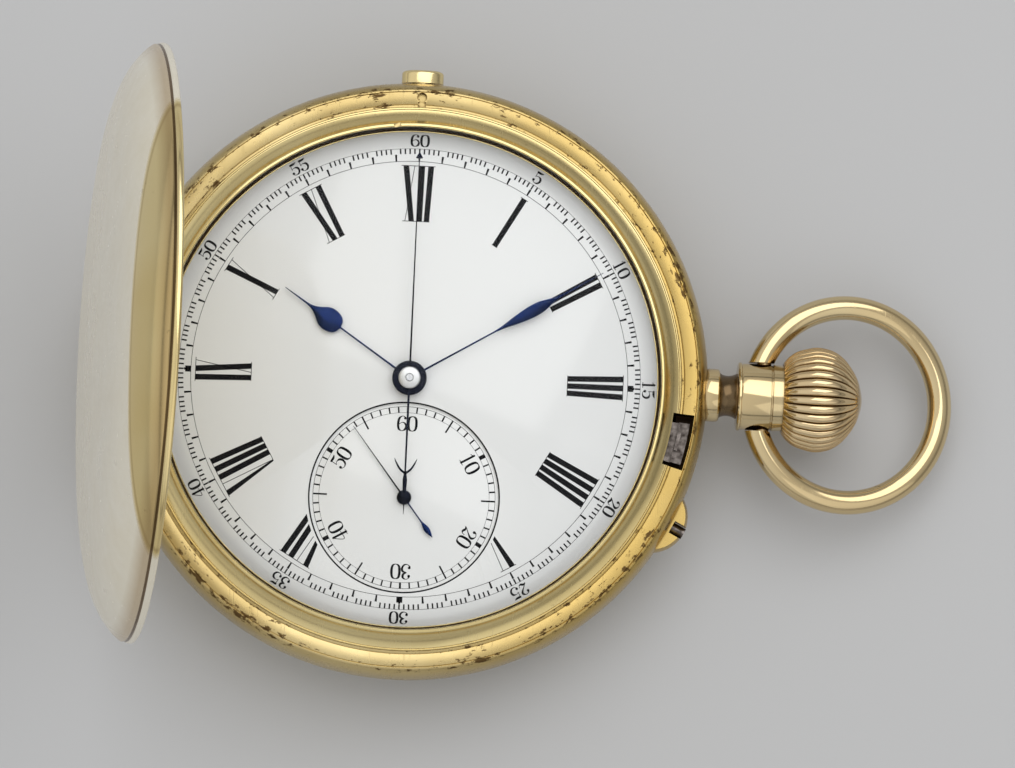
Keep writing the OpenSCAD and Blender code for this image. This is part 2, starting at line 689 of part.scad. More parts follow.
// Crown's outline as shares of its greatest radius and of its length
crown_outline = [[0.68, 0], [0.72, 0.01], [0.86, 0.12], [0.957, 0.27], [1, 0.42], [0.985, 0.52],
    [0.935, 0.63], [0.84, 0.73], [0.72, 0.81], [0.55, 0.89], [0.39, 0.945], [0.2, 0.985], [0, 1]];
groove_cut_r = 0.16;
module crown_groove(x0, r0, x1, r1) {
    translate([x0, 0, r0]) rotate([0, 90 - atan2(r1 - r0, x1 - x0), 0])
        cylinder(r = groove_cut_r, h = norm([x1 - x0, r1 - r0]), $fn = 24);
}
module crown() color(gold)
    difference() {
        translate([crown_x, 0, stem_z]) rotate([0, 90, 0])
            rotate_extrude()
                polygon(concat([[0, 0]], [for (p = crown_outline) [p[0] * crown_r, p[1] * crown_l]]));
        translate([crown_x, 0, stem_z])
            for (i = [0:flutes - 1])
                rotate([(i + 0.5) * 360 / flutes, 0, 0]) {
                    crown_groove(crown_l * 0.15, crown_r * 0.92, crown_l * 0.42, crown_r * 1.03);
                    crown_groove(crown_l * 0.42, crown_r * 1.03, crown_l * 0.8, crown_r * 0.77);
                }
        stem_rod(crown_bore_r, crown_x - 1, crown_floor_x - crown_x + 1);
        stem_rod(stem_outer_r + fit, crown_x - 1, stem_end_x - crown_x + crown_travel + 1.2);
    }

clutch_x = 12.8;
clutch_l = 2.65;
clutch_r = 1.3;
pinion_x = clutch_x + clutch_l + 0.2;
pinion_l = 1.7;
pinion_r = 2.1;
square_half = 0.5;
module winding_stem() color(steel)
    union() {
        translate([clutch_x - 0.1, -square_half, stem_z - square_half])
            cube([clutch_l + 0.3, 2 * square_half, 2 * square_half]);
        stem_rod(stem_r, pinion_x - 0.1, spring_in_r + 2 - pinion_x);
        stem_rod(stem_outer_r, spring_in_r + 1.8, stem_end_x - spring_in_r - 1.8);
    }

bow_end = collar_r + 0.1;
bow_arc = 180 - asin((bow_end - 0.8) / bow_r);
bow_sway = -0.2;
bow_pin_in = 2;
module bow() color(gold)
    translate([pivot_x, 0, stem_z]) rotate([0, bow_droop, 0])
        union() {
            difference() {
                translate([bow_reach, bow_sway, 0])
                    rotate_extrude(start = -bow_arc, angle = 2 * bow_arc)
                        translate([bow_r, 0]) circle(r = bow_wire_r, $fn = 48);
                translate([-4, -bow_end, -2]) cube([8, 2 * bow_end, 4]);
            }
            for (s = [-1, 1])
                translate([0, s * bow_pin_in, 0]) rotate([-90 * s, 0, 0])
                    cylinder(r = bow_pin_r, h = bow_end + 0.3 - bow_pin_in);
        }

module chrono_pusher() color(gold)
    on_rim(90) {
        translate([0, 0, pusher_in]) cylinder(r = pusher_r, h = cap_seat + pusher_travel - pusher_in);
        intersection() {
            translate([0, 0, cap_seat + pusher_travel]) linear_extrude(cap_h)
                rotate(90) lens(cap_half_l, cap_half_w);
            translate([0, 0, cap_seat + pusher_travel + cap_h - 3.4]) sphere(r = 3.45);
        }
    }
pusher_in = flange_in_r;

set_pin_in = bore_r - 1.8;
module set_pin() color(steel)
    on_rim(-set_pin_angle)
        translate([0, 0, set_pin_in])
            cylinder(r = set_pin_r, h = guard_seat + 0.45 + guard_rise - set_pin_in);

module set_pin_guard() color(gold)
    on_rim(-set_pin_angle)
        difference() {
            intersection() {
                translate([-guard_half_w, -guard_half_l, guard_seat])
                    cube([2 * guard_half_w, 2 * guard_half_l, 4]);
                translate([0, 0, case_r + guard_rise - guard_ball_r]) sphere(r = guard_ball_r);
            }
            translate([0, 0, guard_seat - 1]) cylinder(r = set_pin_r + fit, h = 6);
            translate([-4, -set_pin_r - 0.08, case_r + 0.1]) cube([8, 2 * set_pin_r + 0.16, 4]);
        }

seconds_plate_r = seconds_dial_r + 0.45;
module dial() color(enamel)
    difference() {
        rod(origin, dial_r, dial_z, dial_t);
        rod(origin, 1.35, dial_z - 1, 3);
        rod(fourth_at, seconds_dial_r, dial_z - 1, 3);
        rod(fourth_at, seconds_plate_r + fit, dial_z - 1, 1 + dial_t - seconds_sink);
    }

module seconds_dial() color(enamel)
    difference() {
        rod(fourth_at, seconds_plate_r, dial_z, dial_t - seconds_sink);
        rod(fourth_at, 0.6, dial_z - 1, 3);
    }

// Flat hand outline along +Y, from half widths at distances from the centre
module hand_blade(z, profile) {
    translate([0, 0, z]) linear_extrude(hand_t)
        polygon(concat([for (p = profile) [p[1], p[0]]],
            [for (i = [len(profile) - 1:-1:0]) [-profile[i][1], profile[i][0]]]));
}

module boss(at, r_out, r_in, z, h) {
    translate([at[0], at[1], 0]) ring(r_out, r_in, z, h);
}

module hour_hand() color(blued)
    union() {
        boss(origin, 1.35, hour_pipe_r, hour_hand_z - 0.1, hand_boss_t);
        rotate(-hour_angle)
            hand_blade(hour_hand_z, [[1.2, 0.16], [7.5, 0.13], [7.9, 0.6], [8.7, 1], [9.5, 0.75],
                [10.8, 0.13], [hour_hand_l, 0.05]]);
    }

module minute_hand() color(blued)
    union() {
        boss(origin, 1.5, cannon_r, minute_hand_z - 0.1, hand_boss_t);
        rotate(-minute_angle)
            hand_blade(minute_hand_z, [[1.3, 0.15], [8.5, 0.11], [10.4, 0.32], [12.4, 0.52],
                [13.6, 0.4], [14.8, 0.1], [minute_hand_l, 0.04]]);
    }

module sweep_hand() color(steel)
    union() {
        boss(origin, 0.92, runner_arbor_r, sweep_hand_z - 0.13, 0.65);
        hand_blade(sweep_hand_z, [[0.8, 0.12], [sweep_hand_l - 0.6, 0.05], [sweep_hand_l - 0.5, 0.3],
            [sweep_hand_l, 0.04]]);
        hand_blade(sweep_hand_z, [[-11.9, 0.03], [-8.9, 0.24], [-8.1, 0.1], [-0.8, 0.12]]);
        for (s = [-1, 1])
            translate([0, 0, sweep_hand_z]) linear_extrude(hand_t)
                polygon([[0, -8.5], [s * 0.95, -7.1], [s * 0.6, -7.2], [0, -8]]);
    }

module seconds_hand() color(blued)
    translate([fourth_at[0], fourth_at[1], 0])
        union() {
            boss(origin, 0.64, fourth_arbor_r, seconds_hand_z - 0.1, 0.33);
            rotate(-seconds_angle) {
                hand_blade(seconds_hand_z, [[0.5, 0.07], [seconds_hand_l, 0.03]]);
                hand_blade(seconds_hand_z, [[-4.26, 0.04], [-3.7, 0.22], [-3, 0.07], [-0.5, 0.08]]);
            }
        }

module cannon_pinion() color(steel)
    difference() {
        union() {
            translate([0, 0, plate_top + 0.02])
                spur(cannon_leaves, cannon_mod, 0.3, cannon_phase, 0.5, 0.24, 0.5, 0.7);
            rod(origin, cannon_r, plate_top + 0.02, minute_hand_z + 0.25 - plate_top - 0.02);
        }
        rod(origin, centre_arbor_r + fit, plate_top - 1, 8);
    }

module minute_wheel() color(gilt)
    translate([minute_at[0], minute_at[1], plate_top + 0.04])
        difference() {
            union() {
                spur(minute_teeth, cannon_mod, 0.25, minute_phase);
                spur(minute_leaves, hour_mod, 0.6, minute_pinion_phase, 0.5, 0.24);
            }
            translate([0, 0, -1]) cylinder(r = 0.35 + fit, h = 3);
        }

module hour_wheel() color(gilt)
    difference() {
        union() {
            translate([0, 0, plate_top + 0.38]) spur(hour_teeth, hour_mod, 0.25, hour_phase);
            rod(origin, hour_pipe_r, plate_top + 0.38, hour_hand_z + 0.25 - plate_top - 0.38);
        }
        rod(origin, cannon_r + fit, plate_top - 1, 8);
    }

setting_sink = 0.75;
module setting_wheel() color(steel)
    translate([setting_at[0], setting_at[1], plate_top - setting_sink + 0.05])
        difference() {
            spur(setting_teeth, setting_mod, setting_sink + 0.2, setting_phase);
            translate([0, 0, -1]) cylinder(r = 0.4 + fit, h = 4);
        }

plate_r = bore_r - 0.1;
plate_top_r = bore_r - 0.7;
plate_jewel_t = 0.5;
module mainplate() color(gilt)
    difference() {
        union() {
            rod(origin, plate_r, plate_z, 0.6);
            rod(origin, plate_top_r, plate_z, plate_t);
            ring(plate_top_r, plate_top_r - 0.5, plate_z, plate_t + under_dial);
            rod(minute_at, 0.35, plate_z, plate_t + under_dial - 0.05);
            rod(setting_at, 0.4, plate_z + 0.4, plate_t);
        }
        rod(origin, centre_arbor_r + fit, plate_z - 1, 4);
        rod(origin, 1.6, plate_z - 1, 1.5);
        rod(barrel_at, barrel_reach - 0.7, plate_z - 1, 1 + barrel_sink);
        rod(barrel_at, 0.9 + fit, plate_z - 1, 1 + barrel_sink + 0.5);
        rod(fourth_at, jewel_r, plate_z - 1, 5);
        for (p = [third_at, escape_at, pallet_at, balance_at]) rod(p, jewel_r, plate_z - 1, 5);
        translate([setting_at[0], setting_at[1], plate_top - setting_sink])
            difference() {
                cylinder(r = setting_mod * (setting_teeth / 2 + 1.2), h = 2);
                translate([0, 0, -1]) cylinder(r = 0.4, h = 4);
            }
        translate([clutch_x - 1.6, -2.2, plate_z - 1]) cube([pinion_x + pinion_l + 1.8 - clutch_x, 4.4, 5]);
        stem_rod(stem_r + fit, clutch_x, 14);
        translate([flange_in_r - 0.8, -3, plate_z - 1]) cube([5, 6, 5]);
        translate([-1.3, flange_in_r - 1.3, plate_z - 1]) cube([2.6, 4, 5]);
        for (p = screw_points) rod(p, screw_r, plate_z - 1, 2);
        for (p = dog_points) rod(p, screw_r, plate_z - 1, 2);
        rod(pallet_foot_at, 0.3, plate_z - 1, 1.6);
        for (p = chrono_posts) rod(p, chrono_post_r + fit, plate_z - 1, 2);
        on_rim(-set_pin_angle)
            translate([0, 0, set_pin_in - set_travel - 0.3]) cylinder(r = set_pin_r + 0.1, h = 5);
    }

// Foot of a bridge, standing on the mainplate
module foot(a0, a1, r_in) {
    arc(bridge_r, r_in, a0, a1, bridge_z, plate_z - bridge_z);
}

module screw_holes() {
    for (p = screw_points) {
        rod(p, screw_r + fit, bridge_z - 1, plate_z - bridge_z + 1.5);
        rod(p, screw_head_r + fit, bridge_z - 1, 1 + screw_head_h);
    }
}

module barrel_bridge() color(gilt)
    difference() {
        union() {
            intersection() {
                rod(origin, bridge_r, bridge_z, bridge_t);
                translate([0, 0, bridge_z]) linear_extrude(bridge_t)
                    polygon([[-6.2, bore_r], [-4.2, 9.2], [1.5, 7.4], [6.6, 3.4], [6.6, -3.6], [9.4, -4.9],
                        [bore_r, -4.9], [bore_r, bore_r]]);
            }
            rod(crown_wheel_at, crown_boss_r, bridge_z, crown_floor_z + 0.35 - bridge_z);
            foot(13, 23, bridge_r - 3.2);
            foot(97, 105, bridge_r - 3.6);
        }
        difference() {
            rod(crown_wheel_at, crown_boss_r - 0.5, bridge_z - 1, 1 + crown_floor_z - bridge_z);
            rod(crown_wheel_at, crown_post_r, bridge_z - 1, 5);
        }
        rod(barrel_at, barrel_post_r + fit, bridge_z - 1, 5);
        translate([pinion_x - 0.3, -2.2, bridge_z - 1]) cube([pinion_l + 0.6, 4.4, 5]);
        rod(click_at, 0.4, bridge_z - 1, 3);
        screw_holes();
        rod([0.3, bridge_r - 0.2], 2, bridge_z - 1, 3);
    }

train_holes = [third_at, escape_at];
module train_bridge() color(gilt)
    difference() {
        union() {
            intersection() {
                rod(origin, bridge_r, bridge_z, bridge_t);
                translate([0, 0, bridge_z]) linear_extrude(bridge_t)
                    polygon([[-4.2 - bridge_gap, 9.2 - bridge_gap], [1.5 - bridge_gap, 7.4 - bridge_gap],
                        [6.6 - bridge_gap, 3.4 - bridge_gap], [6.6 - bridge_gap, -3.6 - bridge_gap],
                        [9.4 - bridge_gap, -4.9 - bridge_gap], [bore_r, -4.9 - bridge_gap], [bore_r, -bore_r],
                        [-4.6, -bore_r], [-7.4, -11], [-6.4, -4], [-5.6, 4]]);
            }
            foot(-60, -42, bridge_r - 3.6);
            foot(-106, -96, bridge_r - 3.6);
        }
        rod(origin, 0.95 + fit, bridge_z - 1, 5);
        rod(fourth_at, jewel_r, bridge_z - 1, 5);
        for (p = train_holes) rod(p, jewel_r, bridge_z - 1, 5);
        screw_holes();
    }

cock_t = 0.7;
module balance_cock() color(gilt)
    difference() {
        union() {
            intersection() {
                foot(129, 149, bridge_r - 5.8);
                rod(origin, bridge_r, bridge_z, plate_z - bridge_z);
            }
            rod(balance_at, 2.2, bridge_z, cock_t);
            rod(balance_at, 0.85, bridge_z - 0.38, 0.5);
            translate([0, 0, bridge_z]) linear_extrude(cock_t)
                polygon([polar(bridge_r - 5.6, 148), polar(bridge_r - 0.4, 148), balance_at + [-1.9, 1],
                    balance_at + [1.9, 1]]);
        }
        rod(balance_at, jewel_r, bridge_z - 1, 4);
        screw_holes();
    }

pallet_cock_z = bridge_top + 0.62;
module pallet_cock() color(gilt)
    difference() {
        union() {
            rod(pallet_at, 1, pallet_cock_z, 0.3);
            hull() {
                rod(pallet_at, 0.8, pallet_cock_z, 0.3);
                rod(pallet_foot_at, 1.1, pallet_cock_z, 0.3);
            }
            rod(pallet_foot_at, 1.1, pallet_cock_z, plate_z - pallet_cock_z);
        }
        rod(pallet_at, pivot_r + fit, pallet_cock_z - 1, 3);
        rod(pallet_foot_at, 0.3 + fit, pallet_cock_z - 1, 5);
        rod(pallet_foot_at, 0.5 + fit, pallet_cock_z - 1, 1.18);
    }
pallet_foot_at = pallet_at + polar(4, pallet_dir + 75);

barrel_out_r = barrel_mod * (barrel_teeth / 2 - 1.2);
module barrel() color(gilt)
    translate([barrel_at[0], barrel_at[1], barrel_z])
        difference() {
            union() {
                cylinder(r = barrel_out_r, h = barrel_h);
                translate([0, 0, barrel_h - 0.75]) spur(barrel_teeth, barrel_mod, 0.55, barrel_phase);
            }
            translate([0, 0, 0.25]) cylinder(r = barrel_out_r - 0.5, h = barrel_h - 0.5);
            translate([0, 0, -1]) cylinder(r = 0.9 + fit, h = 5);
        }

// Flat spiral strip
module spiral(r0, r1, turns, w, h, per_turn) {
    n = turns * per_turn;
    linear_extrude(h)
        polygon(concat(
            [for (i = [0:n]) polar(r0 + (r1 - r0) * i / n - w / 2, i * 360 / per_turn)],
            [for (i = [n:-1:0]) polar(r0 + (r1 - r0) * i / n + w / 2, i * 360 / per_turn)]));
}

module mainspring() color(steel)
    translate([barrel_at[0], barrel_at[1], barrel_z + 0.3])
        spiral(2.2, barrel_out_r - 0.75, 9, 0.22, barrel_h - 0.6, 20);

module barrel_arbor() color(steel)
    translate([barrel_at[0], barrel_at[1], 0])
        union() {
            rod(origin, 0.9, barrel_z - 0.1, barrel_h + 0.4);
            rod(origin, 1.9, barrel_z + 0.3, barrel_h - 0.6);
            rod(origin, barrel_post_r, bridge_z - 0.02, barrel_z - bridge_z);
            translate([-0.6, -0.6, bridge_z - 0.6]) cube([1.2, 1.2, 0.7]);
        }

module ratchet_wheel() color(steel)
    translate([barrel_at[0], barrel_at[1], bridge_z - 0.6])
        difference() {
            spur(ratchet_teeth, winding_mod, 0.55, ratchet_phase, 0.42, 0.22);
            translate([-0.6, -0.6, -1]) cube([1.2, 1.2, 3]);
        }

module crown_wheel() color(steel)
    translate([crown_wheel_at[0], crown_wheel_at[1], bridge_z - 0.6])
        difference() {
            union() {
                spur(crown_teeth, winding_mod, 0.55, 0, 0.42, 0.22);
                ring(4.22, 3.6, 0, crown_floor_z - bridge_z + 0.2);
                for (i = [0:crown_teeth - 1])
                    rotate(i * 360 / crown_teeth)
                        translate([3.95, -0.14, crown_floor_z - bridge_z + 0.1]) cube([0.4, 0.28, 0.46]);
            }
            translate([0, 0, -1]) cylinder(r = crown_post_r + fit, h = 6);
        }

click_dir = heading(barrel_at) - 62;
click_at = barrel_at + polar(9.2, click_dir);
module click() color(steel)
    translate([0, 0, bridge_z - 0.55])
        union() {
            rod(click_at, 0.37, 0, 1.2);
            linear_extrude(0.5)
                difference() {
                    hull() {
                        translate(click_at) circle(r = 0.9);
                        translate(barrel_at + polar(7.15, click_dir + 11)) circle(r = 0.3);
                    }
                    translate(barrel_at) circle(r = winding_mod * (ratchet_teeth / 2 + 0.75));
                }
        }

module centre_wheel() color(gilt)
    difference() {
        union() {
            translate([0, 0, centre_wheel_z])
                crossed_wheel(centre_teeth, centre_mod, wheel_t, centre_phase, 1.4, 0.7, 5);
            rod(origin, 0.95, bridge_z + 0.05, fourth_wheel_z - bridge_z);
            translate([0, 0, plate_z - 0.9])
                spur(pinion_leaves, barrel_mod, 1.3, centre_pinion_phase, 0.5, 0.24, 0.5, 0.8);
            rod(origin, centre_arbor_r, bridge_z + 0.05, minute_hand_z + 0.1 - bridge_z);
        }
        rod(origin, centre_bore_r, bridge_z - 1, 12);
    }

// Wheel and pinion on a pivoted arbor, built at the origin
module arbor(r, z0, z1) {
    rod(origin, pivot_r, z0 - 0.35, z1 - z0 + 0.7);
    rod(origin, r, z0, z1 - z0);
}

module third_wheel() color(gilt)
    translate([third_at[0], third_at[1], 0])
        union() {
            arbor(0.4, bridge_top + 0.05, plate_z - 0.05);
            translate([0, 0, third_wheel_z])
                crossed_wheel(third_teeth, third_mod, wheel_t, third_phase, 1, 0.6, 5);
            translate([0, 0, bridge_top + 0.1])
                spur(pinion_leaves, centre_mod, 0.7, third_pinion_phase, 0.5, 0.24, 0.5, 0.8);
        }

driver_z = bridge_z - 0.55;
module fourth_wheel() color(gilt)
    translate([fourth_at[0], fourth_at[1], 0])
        union() {
            rod(origin, fourth_arbor_r, driver_z, seconds_hand_z + 0.23 - driver_z);
            rod(origin, 0.42, bridge_top + 0.05, plate_z - bridge_top - 0.1);
            translate([0, 0, fourth_wheel_z])
                crossed_wheel(fourth_teeth, fourth_mod, wheel_t, fourth_phase, 0.9, 0.6, 5);
            translate([0, 0, third_wheel_z - 0.15])
                spur(pinion_leaves, third_mod, 0.65, fourth_pinion_phase, 0.5, 0.24, 0.5, 0.8);
            translate([0, 0, driver_z])
                crossed_wheel(chrono_teeth, chrono_mod, wheel_t, driver_phase, 0.9, 0.45, 4);
        }

escape_r = 3;
module escape_wheel() color(steel)
    translate([escape_at[0], escape_at[1], 0])
        union() {
            arbor(0.32, bridge_top + 0.05, plate_z - 0.05);
            translate([0, 0, fork_z - 0.05])
                difference() {
                    linear_extrude(0.3)
                        polygon([for (i = [0:escape_teeth - 1]) for (q = [[2.2, 0], [escape_r, 4],
                            [escape_r - 0.05, 7.5], [2.2, 9]])
                            polar(q[0], i * 360 / escape_teeth + q[1])]);
                    translate([0, 0, -1]) difference() {
                        cylinder(r = 1.8, h = 3);
                        cylinder(r = 0.75, h = 3);
                        for (i = [0:3]) rotate(i * 90) translate([0, -0.17, 0]) cube([2, 0.34, 3]);
                    }
                }
            translate([0, 0, plate_z - 0.75])
                spur(escape_leaves, fourth_mod, 0.7, escape_pinion_phase, 0.46, 0.22, 0.5, 0.8);
        }

stone_gap = 0.24;
fork_l = norm(balance_at - pallet_at) - 1.1;
module pallet_fork() color(steel)
    translate([pallet_at[0], pallet_at[1], 0]) rotate(pallet_dir)
        union() {
            arbor(0.3, pallet_cock_z + 0.35, plate_z - 0.05);
            translate([0, 0, fork_z]) linear_extrude(fork_t) {
                difference() {
                    translate([0, -0.18]) square([fork_l + 0.35, 0.36]);
                    translate([fork_l - 0.2, -0.21]) square([1, 0.42]);
                }
                for (s = [-1, 1]) {
                    translate([fork_l - 0.35, s > 0 ? 0.21 : -0.46]) square([0.75, 0.25]);
                    translate([-pallet_share, 0]) difference() {
                        intersection() {
                            circle(r = escape_r + stone_gap + 0.85);
                            polygon([[0, 0], polar(9, s * 10), polar(9, s * 50)]);
                        }
                        circle(r = escape_r + stone_gap + 0.35);
                    }
                    translate([-pallet_share, 0]) difference() {
                        intersection() {
                            circle(r = escape_r + stone_gap + 0.85);
                            polygon([[0, 0], polar(9, s * 43), polar(9, s * 50)]);
                        }
                        circle(r = escape_r + stone_gap);
                    }
                }
                translate([-0.25, -1.4]) square([0.5, 2.8]);
                translate([fork_l - 0.6, -0.46]) square([0.3, 0.92]);
            }
        }

roller_pin_r = 0.17;
module balance_wheel() color(gilt)
    translate([balance_at[0], balance_at[1], 0])
        union() {
            rod(origin, pivot_r, bridge_z + 0.15, plate_z + 0.3 - bridge_z - 0.15);
            rod(origin, 0.35, bridge_z + cock_t + 0.05, plate_z - 0.05 - bridge_z - cock_t - 0.05);
            ring(balance_r, balance_r - 0.6, balance_z, balance_t);
            translate([-balance_r + 0.3, -0.35, balance_z]) cube([2 * balance_r - 0.6, 0.7, balance_t]);
            rod(origin, 0.9, balance_z, roller_z + 0.2 - balance_z);
            translate([0, 0, roller_z]) cylinder(r = 1.35, h = 0.2);
            rotate(pallet_dir + 180) translate([1.1, 0, roller_z])
                cylinder(r = roller_pin_r, h = fork_z + fork_t - roller_z);
            for (i = [0:11])
                rotate(i * 30 + 15) translate([balance_r - 0.3, 0, balance_z + balance_t / 2])
                    rotate([0, 90, 0]) cylinder(r = 0.18, h = 0.55, $fn = 24);
        }

module hairspring() color(blued)
    translate([balance_at[0], balance_at[1], bridge_z + cock_t + 0.12])
        union() {
            ring(0.75, 0.35, 0, 0.2);
            spiral(0.8, 3.1, 7, 0.1, 0.2, 20);
        }

module regulator() color(steel)
    translate([balance_at[0], balance_at[1], bridge_z - 0.35])
        difference() {
            union() {
                cylinder(r = 1.5, h = 0.33);
                rotate(75) translate([0, -0.2, 0]) cube([6.2, 0.4, 0.33]);
                rotate(255) translate([0, -0.3, 0]) cube([3, 0.6, 0.33]);
            }
            translate([0, 0, -1]) cylinder(r = 0.85 + fit, h = 3);
        }

module winding_pinion() color(steel)
    translate([pinion_x, 0, stem_z]) rotate([0, 90, 0])
        difference() {
            spur(winding_teeth, 2 * pinion_r / (winding_teeth + 1.1), pinion_l, 180 / winding_teeth);
            translate([0, 0, -1]) cylinder(r = stem_r + fit, h = 4);
            for (i = [0:5]) rotate(i * 60) translate([0.75, -0.2, -1]) cube([0.6, 0.4, 1.3]);
        }

yoke_x = clutch_x + 1;
module clutch_wheel() color(steel)
    translate([clutch_x, 0, stem_z]) rotate([0, 90, 0])
        difference() {
            union() {
                cylinder(r = clutch_r, h = clutch_l);
                for (i = [0:5]) rotate(i * 60) translate([0.75, -0.15, clutch_l - 0.1]) cube([0.5, 0.3, 0.25]);
            }
            translate([0, 0, 1]) difference() {
                cylinder(r = 3, h = 0.6);
                translate([0, 0, -1]) cylinder(r = 1.05, h = 3);
            }
            for (i = [0:9]) rotate(i * 36) translate([0.95, -0.15, -1]) cube([1, 0.3, 1.3]);
            translate([-square_half - fit, -square_half - fit, -1])
                cube([2 * (square_half + fit), 2 * (square_half + fit), 6]);
        }

yoke_z = plate_z - 0.75;
yoke_end = set_pin_in - 0.05;
module setting_yoke() color(steel)
    union() {
        translate([yoke_x + 0.05, -2.4, yoke_z]) cube([0.5, 1.3, 0.7]);
        translate([yoke_x + 0.05, -7.6, yoke_z]) cube([1.1, 5.5, 0.7]);
        intersection() {
            translate([yoke_x + 0.05, -10.2, yoke_z]) cube([8, 3.3, 0.7]);
            rotate(-set_pin_angle) translate([yoke_end - 5.2, -3, 0]) cube([5.2, 6, 20]);
        }
    }

heart_z = chrono_z + 0.1;
module chrono_runner() color(steel)
    union() {
        rod(origin, runner_arbor_r, heart_z, sweep_hand_z + 0.5 - heart_z);
        translate([0, 0, driver_z])
            crossed_wheel(chrono_teeth, chrono_mod, wheel_t, 0, 0.9, 0.45, 4);
        translate([0, 0, heart_z]) linear_extrude(0.4)
            polygon([for (i = [0:35]) let (a = i * 10, t = abs(180 - a) / 180)
                polar(0.55 + 0.95 * t, a + 150)]);
    }

module coupling_wheel() color(gilt)
    translate([coupling_at[0], coupling_at[1], 0])
        union() {
            translate([0, 0, driver_z]) spur(coupling_teeth, chrono_mod, wheel_t - 0.04, coupling_phase);
            rod(origin, 0.25, driver_z, bridge_z - driver_z - 0.02);
        }

module coupling_lever() color(steel)
    difference() {
        translate([0, 0, bridge_z - 0.22]) linear_extrude(0.2)
            hull() {
                translate(fourth_at) circle(r = 0.8);
                translate(coupling_at) circle(r = 0.6);
            }
        rod(fourth_at, fourth_arbor_r + 0.06, bridge_z - 1, 2);
        rod(coupling_at, 0.25 + fit, bridge_z - 1, 2);
    }

column_at = polar(12.2, 118);
column_r = 1.9;
chrono_post_r = 0.45;
module column_wheel() color(steel)
    translate([column_at[0], column_at[1], 0])
        union() {
            translate([0, 0, chrono_z + 0.6])
                linear_extrude(0.4)
                    polygon([for (i = [0:11]) for (q = [[column_r + 0.1, 2], [column_r + 0.6, 22]])
                        polar(q[0], i * 30 + q[1])]);
            rod(origin, column_r, chrono_z + 0.5, 0.2);
            for (i = [0:5]) rotate(i * 60) translate([0, 0, chrono_z]) intersection() {
                ring(column_r, column_r - 0.8, 0, 0.6);
                translate([0.5, -0.45, 0]) cube([2, 0.9, 0.6]);
            }
            rod(origin, chrono_post_r, chrono_z + 0.5, plate_z + 0.6 - chrono_z - 0.5);
            rod(origin, 0.8, chrono_z + 0.9, plate_z - 0.05 - chrono_z - 0.9);
        }

lever_z = bridge_z - 0.6;
lever_pivot_at = polar(18.6, 124);
lever_post_r = 0.55;
lever_tip_at = [0, pusher_in - lever_post_r - 0.05];
module operating_lever() color(steel)
    union() {
        translate([0, 0, lever_z]) linear_extrude(0.5) {
            hull() {
                translate(lever_pivot_at) circle(r = 1, $fn = 48);
                translate(lever_tip_at) circle(r = 0.7, $fn = 48);
            }
            hull() {
                translate(lever_pivot_at) circle(r = 1, $fn = 48);
                translate(column_at + polar(3.1, 145)) circle(r = 0.4, $fn = 48);
            }
        }
        rod(lever_tip_at, lever_post_r, lever_z + 0.1, stem_z - 0.1 - lever_z - 0.1);
        rod(lever_pivot_at, chrono_post_r, lever_z + 0.1, plate_z + 0.5 - lever_z);
        rod(lever_pivot_at, 0.75, lever_z + 0.1, plate_z - 0.15 - lever_z);
    }

hammer_pivot_at = [-6.2, 6.6];
module hammer() color(steel)
    union() {
        translate([0, 0, heart_z]) linear_extrude(0.4) {
            hull() {
                translate(hammer_pivot_at) circle(r = 0.8, $fn = 32);
                translate([-2.4, 1.6]) circle(r = 0.4, $fn = 32);
            }
            hull() {
                translate(hammer_pivot_at) circle(r = 0.8, $fn = 32);
                translate(column_at + polar(column_r + 0.5, -60)) circle(r = 0.3, $fn = 32);
            }
        }
        rod(hammer_pivot_at, chrono_post_r, heart_z, plate_z + 0.6 - heart_z);
        rod(hammer_pivot_at, 0.7, heart_z, plate_z - 0.05 - heart_z);
    }
chrono_posts = [column_at, lever_pivot_at, hammer_pivot_at];

module jewel(at, z, t, hole_r) {
    translate([at[0], at[1], 0]) ring(jewel_r, hole_r, z, t);
}

module jewels() color(ruby)
    union() {
        for (p = train_holes) jewel(p, bridge_top - 0.5, 0.5, pivot_r + fit);
        jewel(fourth_at, bridge_top - 0.5, 0.5, fourth_arbor_r + fit);
        jewel(balance_at, bridge_z + 0.15, cock_t - 0.2, pivot_r + fit);
        for (p = [third_at, escape_at, pallet_at, balance_at])
            jewel(p, plate_z, plate_jewel_t, pivot_r + fit);
        jewel(fourth_at, plate_z, plate_jewel_t, fourth_arbor_r + fit);
    }

module slotted_screw(p, r, head_r, head_z, head_h, l) {
    difference() {
        union() {
            rod(p, head_r, head_z, head_h);
            rod(p, r, head_z, l);
        }
        translate([p[0] - head_r, p[1] - 0.1, head_z - 1]) cube([2 * head_r, 0.2, 1.15]);
    }
}

module screws() color(steel)
    union() {
        for (p = screw_points)
            slotted_screw(p, screw_r, screw_head_r, bridge_z, screw_head_h, plate_z + 0.9 - bridge_z);
        for (p = dog_points)
            slotted_screw(p, screw_r, 1.05, plate_z - flange_h - 0.45, 0.45, flange_h + 1.3);
        slotted_screw(pallet_foot_at, 0.3, 0.5, pallet_cock_z, 0.18, plate_z + 0.6 - pallet_cock_z);
    }

